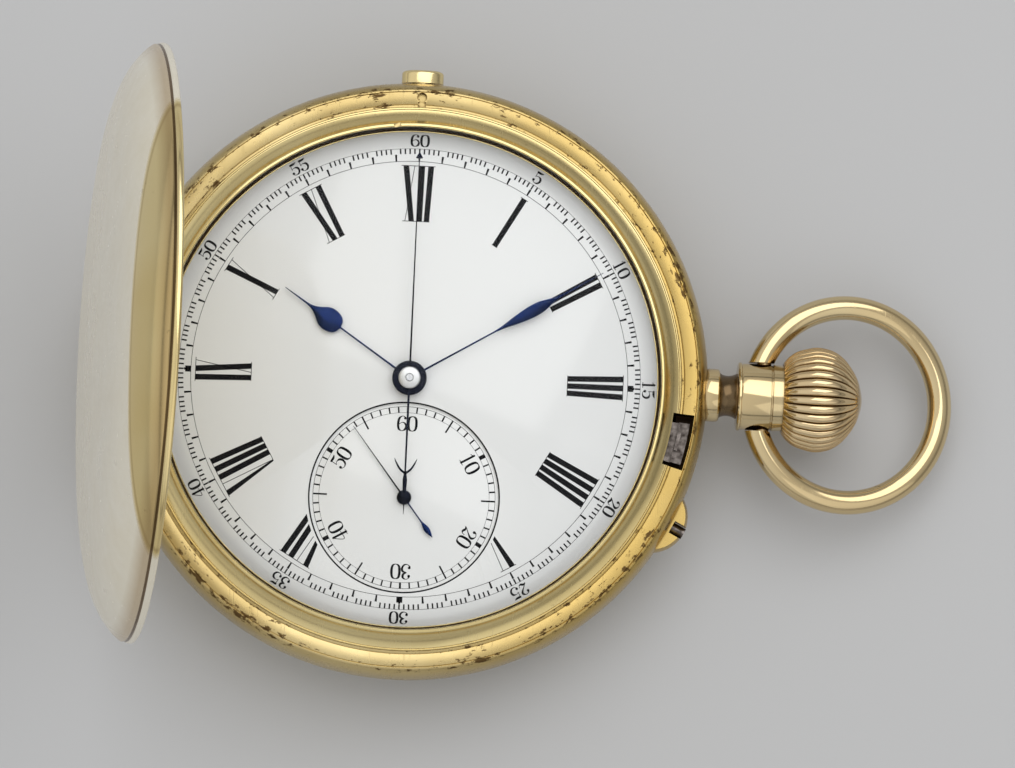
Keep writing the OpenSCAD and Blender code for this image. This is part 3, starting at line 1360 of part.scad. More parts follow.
case_middle();
bezel();
crystal();
front_lid();
back_cover();
cuvette();
cover_hinge_pins();
cuvette_hinge_pin();
lid_spring();
lock_spring();
case_spring_screws();
pendant();
bow_sleeve();
push_sleeve();
crown();
winding_stem();
bow();
chrono_pusher();
set_pin();
set_pin_guard();
dial();
seconds_dial();
hour_hand();
minute_hand();
sweep_hand();
seconds_hand();
cannon_pinion();
minute_wheel();
hour_wheel();
setting_wheel();
mainplate();
barrel_bridge();
train_bridge();
balance_cock();
pallet_cock();
barrel();
mainspring();
barrel_arbor();
ratchet_wheel();
crown_wheel();
click();
centre_wheel();
third_wheel();
fourth_wheel();
escape_wheel();
pallet_fork();
balance_wheel();
hairspring();
regulator();
winding_pinion();
clutch_wheel();
setting_yoke();
chrono_runner();
coupling_wheel();
coupling_lever();
column_wheel();
operating_lever();
hammer();
jewels();
screws();
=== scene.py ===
"""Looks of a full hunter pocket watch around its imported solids. Sizes are in millimetres until S."""
import json
import math

import bmesh
import bpy
from mathutils import Euler, Matrix, Vector


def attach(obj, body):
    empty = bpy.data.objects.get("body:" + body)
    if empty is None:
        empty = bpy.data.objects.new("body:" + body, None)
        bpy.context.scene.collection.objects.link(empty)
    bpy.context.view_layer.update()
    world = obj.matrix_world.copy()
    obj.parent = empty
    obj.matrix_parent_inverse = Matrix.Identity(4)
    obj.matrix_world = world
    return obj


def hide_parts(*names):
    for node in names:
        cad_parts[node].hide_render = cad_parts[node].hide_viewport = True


S = 0.001
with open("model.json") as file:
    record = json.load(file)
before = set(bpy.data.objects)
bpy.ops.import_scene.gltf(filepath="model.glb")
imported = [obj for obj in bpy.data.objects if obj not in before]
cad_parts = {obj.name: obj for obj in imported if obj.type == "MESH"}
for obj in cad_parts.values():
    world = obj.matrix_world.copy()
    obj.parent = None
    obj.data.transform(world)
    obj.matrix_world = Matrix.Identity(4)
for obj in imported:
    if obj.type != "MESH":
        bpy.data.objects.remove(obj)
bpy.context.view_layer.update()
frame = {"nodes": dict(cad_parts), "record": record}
nodes = frame["nodes"]

# Sizes shared with the solids
stem_z = 6.9
case_r = 26.1
rim_r = 25.1
lid_seat_z = 10.1
back_seat_z = 3.6
dial_top = 9.9
dial_r = 21.8
bezel_r = 23.7
bezel_top = 11.5
lid_depth = 4.7
lid_open = 82.3
hinge_x = -25.45
knuckle_r = 0.7
knuckle_l = 2.4
pendant_x = 25.75
collar_x = 28.65
collar_end = 32.65
collar_r = 2.9
crown_l = 6.95
crown_r = 4.6
pivot_x = 30.95
bow_r = 8.55
bow_wire = 1.05
bow_droop = 13.6
sub_y = -10.35
hour_angle = 303.8
minute_angle = 58.9
seconds_angle = 322.2
catch_angle = -10.6
set_pin_angle = -26.6


# Geometry helpers

def polar(r, a):
    return r * math.cos(math.radians(a)), r * math.sin(math.radians(a))


def shade(o, angle):
    """Smooth shading, with edges sharper than an angle kept hard."""
    o.data.shade_smooth()
    o.data.set_sharp_from_angle(angle=math.radians(angle))


def in_scene(name, data):
    o = bpy.data.objects.new(name, data)
    bpy.context.scene.collection.objects.link(o)
    return o


def make(name, verts, faces, mat, sharp=35.0, smooth=True):
    """A piece from vertices in millimetres, with its normals put right."""
    me = bpy.data.meshes.new(name)
    me.from_pydata([(x * S, y * S, z * S) for x, y, z in verts], [], faces)
    me.validate()
    bm = bmesh.new()
    bm.from_mesh(me)
    bmesh.ops.remove_doubles(bm, verts=bm.verts, dist=2e-7)
    bmesh.ops.recalc_face_normals(bm, faces=bm.faces)
    bm.to_mesh(me)
    bm.free()
    o = in_scene(name, me)
    if smooth:
        shade(o, sharp)
    if mat:
        me.materials.append(mat)
    return o


def lathe(name, profile, mat, seg=288, sharp=35.0):
    """Turns a closed profile of (r, z) about the z axis."""
    verts = []
    faces = []
    n = len(profile)
    for i in range(seg):
        c, s = polar(1, i * 360 / seg)
        for r, z in profile:
            verts.append((r * c, r * s, z))
    for i in range(seg):
        a, b = i * n, ((i + 1) % seg) * n
        for k in range(n):
            k2 = (k + 1) % n
            if profile[k][0] == 0 and profile[k2][0] == 0:
                continue
            faces.append((a + k, b + k, b + k2, a + k2))
    return make(name, verts, faces, mat, sharp)


def prism(outline, z0, z1):
    """Vertices and faces of an extruded outline."""
    n = len(outline)
    verts = [(x, y, z0) for x, y in outline] + [(x, y, z1) for x, y in outline]
    faces = [tuple(range(n))[::-1], tuple(range(n, 2 * n))]
    faces += [(i, (i + 1) % n, n + (i + 1) % n, n + i) for i in range(n)]
    return verts, faces


def skin(rings, seg, first=0):
    """Faces between rings of seg points each, whose vertices start at first."""
    faces = []
    for i in range(rings - 1):
        for k in range(seg):
            a, b = first + i * seg + k, first + i * seg + (k + 1) % seg
            faces.append((a, b, b + seg, a + seg))
    return faces


def capped(rings, seg):
    """The same with both ends closed."""
    return skin(rings, seg) + [tuple(range(seg))[::-1], tuple(range((rings - 1) * seg, rings * seg))]


def join_data(parts):
    verts, faces = [], []
    for v, f in parts:
        base = len(verts)
        verts += v
        faces += [tuple(i + base for i in g) for g in f]
    return verts, faces


def bevel(o, width, segments=2, angle=35.0):
    m = o.modifiers.new("bevel", "BEVEL")
    m.width = width * S
    m.segments = segments
    m.limit_method = "ANGLE"
    m.angle_limit = math.radians(angle)
    m.harden_normals = False


def apply_all(o):
    bpy.context.view_layer.update()
    deps = bpy.context.evaluated_depsgraph_get()
    me = bpy.data.meshes.new_from_object(o.evaluated_get(deps))
    o.modifiers.clear()
    o.data = me


def cut(o, tools, sharp=35.0):
    """Takes the tools' volume out of the piece and applies it."""
    for t in tools:
        m = o.modifiers.new("cut", "BOOLEAN")
        m.operation = "DIFFERENCE"
        m.solver = "EXACT"
        m.object = t
    apply_all(o)
    for t in tools:
        bpy.data.objects.remove(t)
    shade(o, sharp)


def place(o, m):
    o.data.transform(m)
    return o


def tool(outline, z0, z1, at=None):
    """A cutting tool: an outline drawn up from z0 to z1, then moved."""
    o = make("tool", *prism(outline, z0, z1), None, smooth=False)
    return o if at is None else place(o, at)


def drill(r, z0, z1, at=None):
    return tool([polar(r, i * 360 / 48) for i in range(48)], z0, z1, at)


def box(low, high, at=None):
    (x0, y0, z0), (x1, y1, z1) = low, high
    return tool([(x0, y0), (x1, y0), (x1, y1), (x0, y1)], z0, z1, at)


def arc(r0, r1, a0, a1, z0, z1):
    angles = [a0 + (a1 - a0) * i / 16 for i in range(17)]
    return tool([polar(r1, a) for a in angles] + [polar(r0, a) for a in angles[::-1]], z0, z1)


def along_x(x=0.0):
    """Turns +Z to the stem's axis, from a distance x."""
    return Matrix.Translation((x * S, 0, stem_z * S)) @ Matrix.Rotation(math.radians(90), 4, "Y")


def on_rim(angle):
    """Turns +Z outwards from the middle of the case, at an angle from 3 o'clock."""
    return (Matrix.Translation((0, 0, stem_z * S)) @ Matrix.Rotation(math.radians(angle), 4, "Z")
            @ Matrix.Rotation(math.radians(90), 4, "Y"))


def second_material(o, mat, chosen):
    """Gives a second material to the faces whose centre and normal pass the test."""
    o.data.materials.append(mat)
    for face in o.data.polygons:
        if chosen(face.center, face.normal):
            face.material_index = 1


def piece(o, body, slot, *replaced):
    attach(o, body)
    if replaced:
        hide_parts(*replaced)
    return o


def spline(points, per):
    """Catmull-Rom curve through points of any dimension, with a number of steps per span."""
    out = []
    n = len(points)
    for i in range(n - 1):
        p = [points[min(max(i + k, 0), n - 1)] for k in (-1, 0, 1, 2)]
        for s in range(per):
            t = s / per
            out.append(tuple(0.5 * (2 * b + (c - a) * t + (2 * a - 5 * b + 4 * c - d) * t * t
                                    + (3 * b - a - 3 * c + d) * t ** 3) for a, b, c, d in zip(*p)))
    out.append(tuple(points[-1]))
    return out


# Material helpers

class Tree:
    """Small helper that builds a node tree."""

    def __init__(self, owner):
        owner.use_nodes = True
        self.tree = owner.node_tree

    def add(self, kind, **values):
        n = self.tree.nodes.new(kind)
        for k, v in values.items():
            setattr(n, k, v)
        return n

    def link(self, a, b):
        self.tree.links.new(a, b)

    def value(self, socket, v):
        if isinstance(v, bpy.types.NodeSocket):
            self.link(v, socket)
        else:
            socket.default_value = v

    def math(self, op, a, b=None, c=None):
        n = self.add("ShaderNodeMath", operation=op)
        self.value(n.inputs[0], a)
        if b is not None:
            self.value(n.inputs[1], b)
        if c is not None:
            self.value(n.inputs[2], c)
        return n.outputs[0]

    def object_coords(self):
        return self.add("ShaderNodeTexCoord").outputs["Object"]

    def clamp(self, v):
        n = self.add("ShaderNodeClamp")
        self.link(v, n.inputs[0])
        return n.outputs[0]

    def vector(self, op, a, b=(0, 0, 0)):
        n = self.add("ShaderNodeVectorMath", operation=op)
        self.link(a, n.inputs[0])
        n.inputs[1].default_value = b
        return n.outputs["Value" if op in ("DOT_PRODUCT", "LENGTH") else "Vector"]

    def split(self, v):
        n = self.add("ShaderNodeSeparateXYZ")
        self.link(v, n.inputs[0])
        return n.outputs

    def noise(self, scale, detail, rough, vector=None):
        n = self.add("ShaderNodeTexNoise")
        n.inputs["Scale"].default_value = scale
        n.inputs["Detail"].default_value = detail
        n.inputs["Roughness"].default_value = rough
        self.link(vector or self.object_coords(), n.inputs["Vector"])
        return n.outputs["Fac"]

    def ramp(self, fac, *stops):
        """Levels of grey at positions along a factor."""
        n = self.add("ShaderNodeValToRGB")
        elements = n.color_ramp.elements
        while len(elements) < len(stops):
            elements.new(0.5)
        for e, (at, v) in zip(elements, stops):
            e.position = at
            e.color = (v, v, v, 1)
        self.link(fac, n.inputs[0])
        return n.outputs[0]

    def fade(self, fac, low, high):
        """Rises from 0 at low to 1 at high."""
        return self.ramp(fac, (low, 0.0), (high, 1.0))

    def mix(self, fac, a, b):
        n = self.add("ShaderNodeMix", data_type="RGBA")
        self.value(n.inputs[0], fac)
        self.value(n.inputs[6], a if isinstance(a, bpy.types.NodeSocket) else (*a, 1))
        self.value(n.inputs[7], b if isinstance(b, bpy.types.NodeSocket) else (*b, 1))
        return n.outputs[2]

    def radius(self):
        """Distance from the z axis, in millimetres."""
        x, y, z = self.split(self.object_coords())
        xx = self.math("MULTIPLY", x, x)
        yy = self.math("MULTIPLY", y, y)
        return self.math("MULTIPLY", self.math("SQRT", self.math("ADD", xx, yy)), 1000.0)


class Nodes(Tree):
    """The tree of a new material with its main shader."""

    def __init__(self, name):
        self.mat = bpy.data.materials.new(name)
        super().__init__(self.mat)
        self.bsdf = self.tree.nodes["Principled BSDF"]
        self.out = self.tree.nodes["Material Output"]

    def put(self, name, v):
        self.value(self.bsdf.inputs[name], v)

    def bump(self, height, strength, distance=0.00001):
        n = self.add("ShaderNodeBump")
        n.inputs["Strength"].default_value = strength
        n.inputs["Distance"].default_value = distance
        self.link(height, n.inputs["Height"])
        self.put("Normal", n.outputs[0])


# Colours of the painted reflection on the lid's dome and of its dark edge line
REFLECTED_PALE = (0.90, 0.85, 0.72)
REFLECTED_EDGE_LINE = (0.30, 0.20, 0.08)
# Colours of the painted reflection band over the lid's rim and of the painted shade in its groove
RIM_REFLECTION = (0.42, 0.28, 0.12)
RIM_GROOVE_SHADE = (0.10, 0.055, 0.02)
# Brown of the painted shade on the +x side of the case and bezel
SIDE_SHADE_BROWN = (0.52, 0.36, 0.11)
# Brown of grime and of painted shade in corners and grooves
GRIME_AND_SHADE = (0.16, 0.085, 0.025)
PIT = (0.11, 0.062, 0.022)


def hairlines(n, coords):
    """Fine scratches in two directions."""
    lines = []
    for turn, scale in (((0.3, 0.5, 0.7), (5200.0, 240.0, 900.0)), ((1.1, 0.2, 2.3), (4300.0, 300.0, 700.0))):
        stretch = n.add("ShaderNodeMapping")
        stretch.inputs["Scale"].default_value = scale
        stretch.inputs["Rotation"].default_value = turn
        n.link(coords, stretch.inputs[0])
        lines.append(n.fade(n.noise(1.0, 3.0, 0.6, stretch.outputs[0]), 0.64, 0.7))
    return n.math("MAXIMUM", *lines)


def ring_coords(n, coords):
    """Coordinates that run round the case, so that marks are drawn out along its ring."""
    x, y, z = n.split(coords)
    around = n.add("ShaderNodeCombineXYZ")
    n.link(n.math("MULTIPLY", n.math("ARCTAN2", y, x), 0.011), around.inputs[0])
    n.link(n.math("MULTIPLY", n.radius(), 0.001), around.inputs[1])
    n.link(z, around.inputs[2])
    return around.outputs[0]


def band_gain(n, bands):
    """How much more pitted the metal is between two radii, with soft sides."""
    r = n.radius()
    gain = 0.0
    for low, high, soft, amount in bands:
        up = n.math("DIVIDE", n.math("SUBTRACT", r, low - soft), soft)
        down = n.math("DIVIDE", n.math("SUBTRACT", high + soft, r), soft)
        gain = n.math("MAXIMUM", gain, n.math("MULTIPLY", n.clamp(n.math("MINIMUM", up, down)), amount))
    return gain


def pale_haze(n, coords, area, centre, axis, reach, soft, amount):
    """Painted reflection: a pale area up to a reach from an axis, and a thin dark line along its edge."""
    off = n.vector("SUBTRACT", coords, [c * S for c in centre])
    away = n.vector("LENGTH", n.vector("CROSS_PRODUCT", off, axis))
    near = n.math("DIVIDE", n.math("SUBTRACT", reach * S, away), soft * S)
    reflected = n.math("MULTIPLY", n.clamp(near), n.math("MULTIPLY_ADD", area, 0.3, amount - 0.15))
    from_line = n.math("DIVIDE", n.math("SUBTRACT", away, (reach + 0.12) * S), 0.16 * S)
    return reflected, n.clamp(n.math("SUBTRACT", 1.0, n.math("ABSOLUTE", from_line)))


def rim_shade(n, coords, colour, middle, up, line_low, line_high, reflection_to):
    """Painted reflection: a brown band that fades with the height over a cover's rim, and a painted shade
    line in the groove at its foot.
    """
    rise = n.vector("DOT_PRODUCT", n.vector("SUBTRACT", coords, [c * S for c in middle]), up)
    fall = n.clamp(n.math("DIVIDE", n.math("SUBTRACT", reflection_to * S, rise), 0.9 * S))
    above = n.math("GREATER_THAN", rise, line_low * S)
    colour = n.mix(n.math("MULTIPLY", n.math("MULTIPLY", fall, above), 0.6), colour, RIM_REFLECTION)
    groove = n.math("MULTIPLY", above, n.math("LESS_THAN", rise, line_high * S))
    return n.mix(n.math("MULTIPLY", groove, 0.85), colour, RIM_GROOVE_SHADE)


def gold_material(name, base, deep, rough, wear=0.15, pits=0.4, pit_scale=1100.0, bands=None, scratch=0.25,
                  dirt_and_shade=0.8, dirt_and_shade_reach=0.35, reflection_patch=None, side_shade=None, rim_reflection=None, ringwise=False,
                  grain=0.35):
    """Worn polished gold: colour drift, fine scratches, dark pits, and brown grime with painted shade in the
    corners.
    """
    n = Nodes(name)
    coords = n.object_coords()
    colour = n.mix(n.fade(n.noise(75.0, 3.0, 0.5, coords), 0.38, 0.62), base, deep)
    scratches = hairlines(n, coords)
    r = n.math("MULTIPLY_ADD", n.noise(190.0, 4.0, 0.6, coords), wear, rough - wear * 0.5)
    r = n.math("MULTIPLY_ADD", scratches, scratch * 0.3, r)
    height = n.math("MULTIPLY", n.noise(1500.0, 5.0, 0.65, coords), 0.3)
    height = n.math("MULTIPLY_ADD", scratches, -0.5 * scratch, height)
    spots = n.noise(pit_scale, 5.0, 0.68, ring_coords(n, coords) if ringwise else coords)
    area = n.noise(230.0, 3.0, 0.6, coords)
    level = n.math("MULTIPLY_ADD", n.math("SUBTRACT", area, 0.5), 0.45, spots)
    if bands is not None:
        level = n.math("ADD", level, band_gain(n, bands))
    pit = n.math("MULTIPLY", n.fade(level, 0.69, 0.75), pits)
    # Painted shade: an occlusion mask turns the colour brown in corners, creases and grooves, as grime and as
    # the shade that falls there.
    corner = n.add("ShaderNodeAmbientOcclusion", samples=6, only_local=False)
    corner.inputs["Distance"].default_value = dirt_and_shade_reach * S
    shade = n.math("MULTIPLY", n.ramp(corner.outputs["AO"], (0.25, 1.0), (0.8, 0.0)),
                   n.math("MULTIPLY_ADD", spots, 0.9, 0.45))
    grime_and_shade = n.clamp(n.math("MULTIPLY", shade, dirt_and_shade))
    metallic = 1.0
    # Painted reflection on the lid's dome: a pale, less metallic area with a dark line along its edge.
    if reflection_patch is not None:
        reflected, line = pale_haze(n, coords, area, *reflection_patch)
        colour = n.mix(reflected, colour, REFLECTED_PALE)
        colour = n.mix(n.math("MULTIPLY", line, 0.45), colour, REFLECTED_EDGE_LINE)
        r = n.math("MULTIPLY_ADD", reflected, 0.1, r)
        metallic = n.math("MULTIPLY_ADD", reflected, -0.5, 1.0)
    # Painted reflection band and painted groove shade above the cover's rim.
    if rim_reflection is not None:
        colour = rim_shade(n, coords, colour, *rim_reflection)
    # Painted shade: the colour darkens towards +x across the piece, mottled by noise.
    if side_shade is not None:
        start, full, amount = side_shade
        x = n.split(coords)[0]
        side = n.clamp(n.math("DIVIDE", n.math("SUBTRACT", x, start * S), (full - start) * S))
        side_shaded = n.math("MULTIPLY", side, n.math("MULTIPLY_ADD", area, 0.5, amount - 0.25))
        colour = n.mix(side_shaded, colour, SIDE_SHADE_BROWN)
    colour = n.mix(grime_and_shade, colour, GRIME_AND_SHADE)
    r = n.math("MULTIPLY_ADD", grime_and_shade, 0.2, n.math("MULTIPLY_ADD", pit, 0.3, r))
    n.put("Base Color", n.mix(pit, colour, PIT))
    n.put("Metallic", metallic)
    n.put("Roughness", r)
    n.bump(n.math("MULTIPLY_ADD", pit, -0.8, height), grain)
    return n.mat


def simple_material(name, colour, metallic, rough, noise_scale, drift, bump, second=None):
    """A metal or stone whose colour and roughness drift with one noise."""
    n = Nodes(name)
    tex = n.noise(noise_scale, 4.0, 0.6)
    n.put("Base Color", n.mix(n.fade(tex, 0.35, 0.7), colour, second or tuple(c * 0.82 for c in colour)))
    n.put("Metallic", metallic)
    n.put("Roughness", n.math("MULTIPLY_ADD", tex, drift, rough - drift / 2))
    n.bump(tex, bump)
    return n.mat


GOLD = (0.84, 0.69, 0.365)
GOLD_DEEP = (0.79, 0.62, 0.29)
gold = gold_material("gold_polished", GOLD, GOLD_DEEP, 0.18, pits=0.6, scratch=0.3)
lean = math.radians(lid_open)
lid_axis = Vector((-math.sin(lean), 0.0, math.cos(lean)))
lid_up = Vector((math.cos(lean), 0.0, math.sin(lean)))
lid_middle = Vector((hinge_x, 0.0, lid_seat_z)) - hinge_x * lid_up
reflection_reach = 48.8
reflection_centre = lid_middle - lid_up * 28.1
# The lid's gold carries a painted reflection on its dome and a painted reflection band over its rim.
gold_lid = gold_material("gold_lid", (0.85, 0.70, 0.37), GOLD_DEEP, 0.16, wear=0.05, pits=0.3,
                         pit_scale=1300.0, scratch=0.0, dirt_and_shade=0.4, grain=0.06,
                         reflection_patch=(reflection_centre, lid_axis, reflection_reach, 0.35, 0.92),
                         rim_reflection=(lid_middle, lid_axis, 0.57, 0.8, 2.1))
gold_satin = gold_material("gold_satin", (0.90, 0.82, 0.63), (0.86, 0.76, 0.54), 0.5, 0.1, pits=0.3,
                           scratch=0.3)
# The case band and the bezel are darkened towards +x by painted shade.
gold_case = gold_material("gold_case", (0.63, 0.50, 0.245), (0.50, 0.375, 0.16), 0.27, 0.2, pits=0.95,
                          pit_scale=2600.0, scratch=0.5, dirt_and_shade=1.0, dirt_and_shade_reach=0.3, ringwise=True,
                          bands=[(24.9, 25.4, 0.3, 0.16), (23.75, 24.0, 0.15, 0.11), (24.0, 25.0, 0.2, 0.07)],
                          side_shade=(2.0, 21.0, 0.85))
gold_bezel = gold_material("gold_bezel", (0.79, 0.655, 0.335), (0.72, 0.575, 0.27), 0.22, 0.12, pits=0.5,
                           pit_scale=1600.0, scratch=0.3, side_shade=(10.0, 24.0, 0.2), ringwise=True)
gold_bow = gold_material("gold_bow", (0.76, 0.63, 0.38), (0.68, 0.53, 0.29), 0.1, 0.1, pits=0.6,
                         scratch=0.35, dirt_and_shade=1.0, dirt_and_shade_reach=0.45)
# The crown's strong occlusion darkening is painted shade in the grooves between its ribs.
gold_crown = gold_material("gold_crown", (0.76, 0.60, 0.36), (0.64, 0.47, 0.25), 0.1, 0.1, pits=0.7,
                           scratch=0.3, dirt_and_shade=2.3, dirt_and_shade_reach=0.8)
# Painted shade: a dark brown copy of the gold for the pendant's waisted neck, standing in for its shade and
# dark reflections.
gold_neck_shaded = gold_material("gold_neck_shaded", (0.34, 0.25, 0.14), (0.14, 0.095, 0.05), 0.24, 0.2, pits=0.9,
                          pit_scale=1300.0, scratch=0.4, dirt_and_shade=1.0, dirt_and_shade_reach=1.0)
# Near-black gold, painted shade for the dark gap at the bezel's inner lip and the walls of the catch slot.
gap_shade = gold_material("gold_gap_shade", (0.05, 0.03, 0.015), (0.02, 0.012, 0.008), 0.5, 0.2, pits=0.9)
gilt = simple_material("gilt_matt", (0.78, 0.58, 0.26), 1.0, 0.38, 2600.0, 0.15, 0.25)
steel = simple_material("steel_polished", (0.55, 0.55, 0.56), 1.0, 0.22, 1500.0, 0.1, 0.1)
dark_steel = simple_material("steel_dark", (0.20, 0.175, 0.16), 1.0, 0.34, 1500.0, 0.4, 1.0,
                             second=(0.02, 0.014, 0.012))
blued = simple_material("steel_blued", (0.008, 0.02, 0.085), 1.0, 0.2, 600.0, 0.06, 0.05,
                        second=(0.004, 0.01, 0.04))
black_steel = simple_material("steel_black", (0.01, 0.012, 0.02), 1.0, 0.22, 600.0, 0.06, 0.05,
                              second=(0.006, 0.007, 0.012))
cap_steel = simple_material("steel_cap", (0.80, 0.80, 0.80), 1.0, 0.42, 1500.0, 0.1, 0.15)
ruby = simple_material("ruby", (0.45, 0.01, 0.05), 0.0, 0.06, 300.0, 0.02, 0.0)


def enamel_material():
    n = Nodes("enamel")
    coords = n.object_coords()
    n.put("Base Color", n.mix(n.noise(70.0, 3.0, 0.5, coords), (0.90, 0.90, 0.895), (0.88, 0.882, 0.878)))
    n.put("Roughness", 0.12)
    n.put("Coat Weight", 0.25)
    n.put("Coat Roughness", 0.06)
    n.bump(n.noise(110.0, 2.0, 0.4, coords), 0.06, 0.0004)
    return n.mat


def rough_material(name, noise, one, other, rough, specular):
    """A matt surface between two colours, for the printing and the floor."""
    n = Nodes(name)
    n.put("Base Color", n.mix(n.noise(*noise), one, other))
    n.put("Roughness", rough)
    n.put("Specular IOR Level", specular)
    return n.mat


def glass_material():
    """Thin clear crystal: mostly see-through, with a weak gloss on its outer sides."""
    n = Nodes("crystal_glass")
    clear = n.add("ShaderNodeBsdfTransparent")
    clear.inputs[0].default_value = (0.985, 0.99, 0.99, 1)
    gloss = n.add("ShaderNodeBsdfGlossy")
    gloss.inputs["Roughness"].default_value = 0.02
    fresnel = n.add("ShaderNodeFresnel")
    fresnel.inputs["IOR"].default_value = 1.2
    outside = n.math("SUBTRACT", 1.0, n.add("ShaderNodeNewGeometry").outputs["Backfacing"])
    mix = n.add("ShaderNodeMixShader")
    n.link(n.math("MULTIPLY", fresnel.outputs[0], outside), mix.inputs[0])
    n.link(clear.outputs[0], mix.inputs[1])
    n.link(gloss.outputs[0], mix.inputs[2])
    n.link(mix.outputs[0], n.out.inputs["Surface"])
    n.tree.nodes.remove(n.bsdf)
    return n.mat


enamel = enamel_material()
ink = rough_material("dial_print", (4000.0, 3.0, 0.6), (0.004, 0.004, 0.005), (0.012, 0.012, 0.014),
                     0.5, 0.05)
glass = glass_material()

# Plain materials for the solids that stay as they are
slot_of = {s["node"]: s["material_slot"] for s in frame["record"]["subparts"]}
by_slot = {"gold": gold, "crystal": glass, "enamel": enamel, "blued_steel": blued, "steel": steel,
           "gilt": gilt, "ruby": ruby}
for name, o in nodes.items():
    o.data.materials.clear()
    o.data.materials.append(by_slot[slot_of[name]])
    shade(o, 28)


# Front lid and back cover

cover_wall = 0.7
case_knuckles = (0, 2, 4)
cover_knuckles = (1, 3)


def cover_height(r, depth, swell, flat_r):
    k = min(r / rim_r, 1.0)
    if r < flat_r:
        return depth
    return 0.78 + (depth - 0.78 - swell) * max(0.0, 1 - k ** 8) ** 0.85 + swell * (1 - k * k)


def cover_profile(depth, swell, flat_r=0.0):
    """Closed section of a cover from its rim at z 0 up to its dome."""
    steps = [1 - (1 - i / 90) ** 2.4 for i in range(91)]
    outer_r, inner_r = rim_r - 0.14, rim_r - cover_wall
    outer = [(outer_r * k, cover_height(outer_r * k * 1.003, depth, swell, flat_r)) for k in steps]
    inner = [(inner_r * k, cover_height(rim_r * 0.995 * k, depth, swell, flat_r) - cover_wall) for k in steps]
    bead = [(0.20, 0.70), (0.22, 0.66), (0.20, 0.62), (0.10, 0.56), (0.03, 0.46), (0.0, 0.33), (0.005, 0.18),
            (0.05, 0.06), (0.13, 0.0), (0.4, 0.0), (cover_wall - 0.04, 0.0), (cover_wall, 0.05)]
    return outer + [(rim_r - inset, z) for inset, z in bead] + inner[::-1]


def knuckle_ends(i, gap):
    """Where a hinge knuckle starts and ends along y, with a gap at both ends."""
    return (i - 2.5) * knuckle_l + gap, (i - 1.5) * knuckle_l - gap


def knuckle_parts(x, z, which, r=knuckle_r):
    seg = 32
    parts = []
    for i in which:
        y0, y1 = knuckle_ends(i, 0.03)
        verts = []
        for rr, y in [(r - 0.05, y0), (r, y0 + 0.05), (r, y1 - 0.05), (r - 0.05, y1)]:
            for k in range(seg):
                c, s = polar(rr, k * 360 / seg)
                verts.append((x + c, y, z + s))
        parts.append((verts, capped(4, seg)))
    return parts


def cover_piece(name, profile, z_sign, seat_z, mat):
    """Cover with the pockets of the case's knuckles cut out of its rim and its own knuckles."""
    shell = lathe(name, profile, mat, seg=360, sharp=40)
    place(shell, Matrix.Diagonal((1, 1, z_sign, 1)))
    place(shell, Matrix.Translation((0, 0, seat_z * S)))
    if z_sign < 0:
        shell.data.flip_normals()
    tools = []
    for i in case_knuckles:
        ring = [polar(knuckle_r + 0.08, a * 15) for a in range(24)]
        verts = [(hinge_x + x, y, seat_z + z) for y in knuckle_ends(i, -0.03) for x, z in ring]
        tools.append(make("tool", verts, capped(2, 24), None, smooth=False))
    cut(shell, tools, 40)
    heart = Vector((0, 0, (seat_z - 5.0 * z_sign) * S))
    inner_r = (rim_r - 0.65) * S
    second_material(shell, gold_satin,
                    lambda c, normal: math.hypot(c.x, c.y) < inner_r and normal.dot(c - heart) < 0)
    v, f = join_data(knuckle_parts(hinge_x, seat_z, cover_knuckles))
    return shell, make(name + "_knuckles", v, f, mat, sharp=40)


def opened():
    h = Vector((hinge_x * S, 0, lid_seat_z * S))
    return Matrix.Translation(h) @ Matrix.Rotation(math.radians(-lid_open), 4, "Y") @ Matrix.Translation(-h)


lid, lid_knuckles = cover_piece("lid_shell", cover_profile(lid_depth, 0.8), 1, lid_seat_z, gold_lid)
for o in (lid, lid_knuckles):
    place(o, opened())
piece(lid, "front_lid", "gold", "front_lid")
piece(lid_knuckles, "front_lid", "gold")

back, back_knuckles = cover_piece("back_shell", cover_profile(back_seat_z, 0.0, 12.0), -1, back_seat_z, gold)
piece(back, "back_cover", "gold", "back_cover")
piece(back_knuckles, "back_cover", "gold")


# Case middle

def middle_profile():
    up, down = lid_seat_z - stem_z, stem_z - back_seat_z
    outer = []
    steps = 40
    for i in range(-steps, steps + 1):
        c, s = polar(1, i * 90 / steps)
        outer.append((rim_r + (case_r - rim_r) * c, stem_z + (down if i < 0 else up) * s))
    outer[-1] = (rim_r + 0.02, lid_seat_z - 0.01)
    seat = [(rim_r - 0.02, lid_seat_z - 0.05), (rim_r - 0.06, lid_seat_z - 0.01), (rim_r - 0.14, lid_seat_z),
            (24.02, lid_seat_z), (23.98, lid_seat_z - 0.01), (23.94, lid_seat_z - 0.045),
            (23.9, lid_seat_z - 0.01), (23.86, lid_seat_z), (bezel_r + 0.01, lid_seat_z),
            (bezel_r + 0.01, 9.6)]
    inner = [(22.0, 9.6), (22.0, 9.3), (23.4, 9.3), (23.4, 7.5), (22.0, 7.5), (22.0, 6.9), (20.9, 6.9),
             (20.9, 5.9), (22.0, 5.9), (23.6, 5.3), (23.6, 4.5), (22.0, 3.9), (23.9, 3.9), (23.9, 3.6)]
    return outer + seat + inner


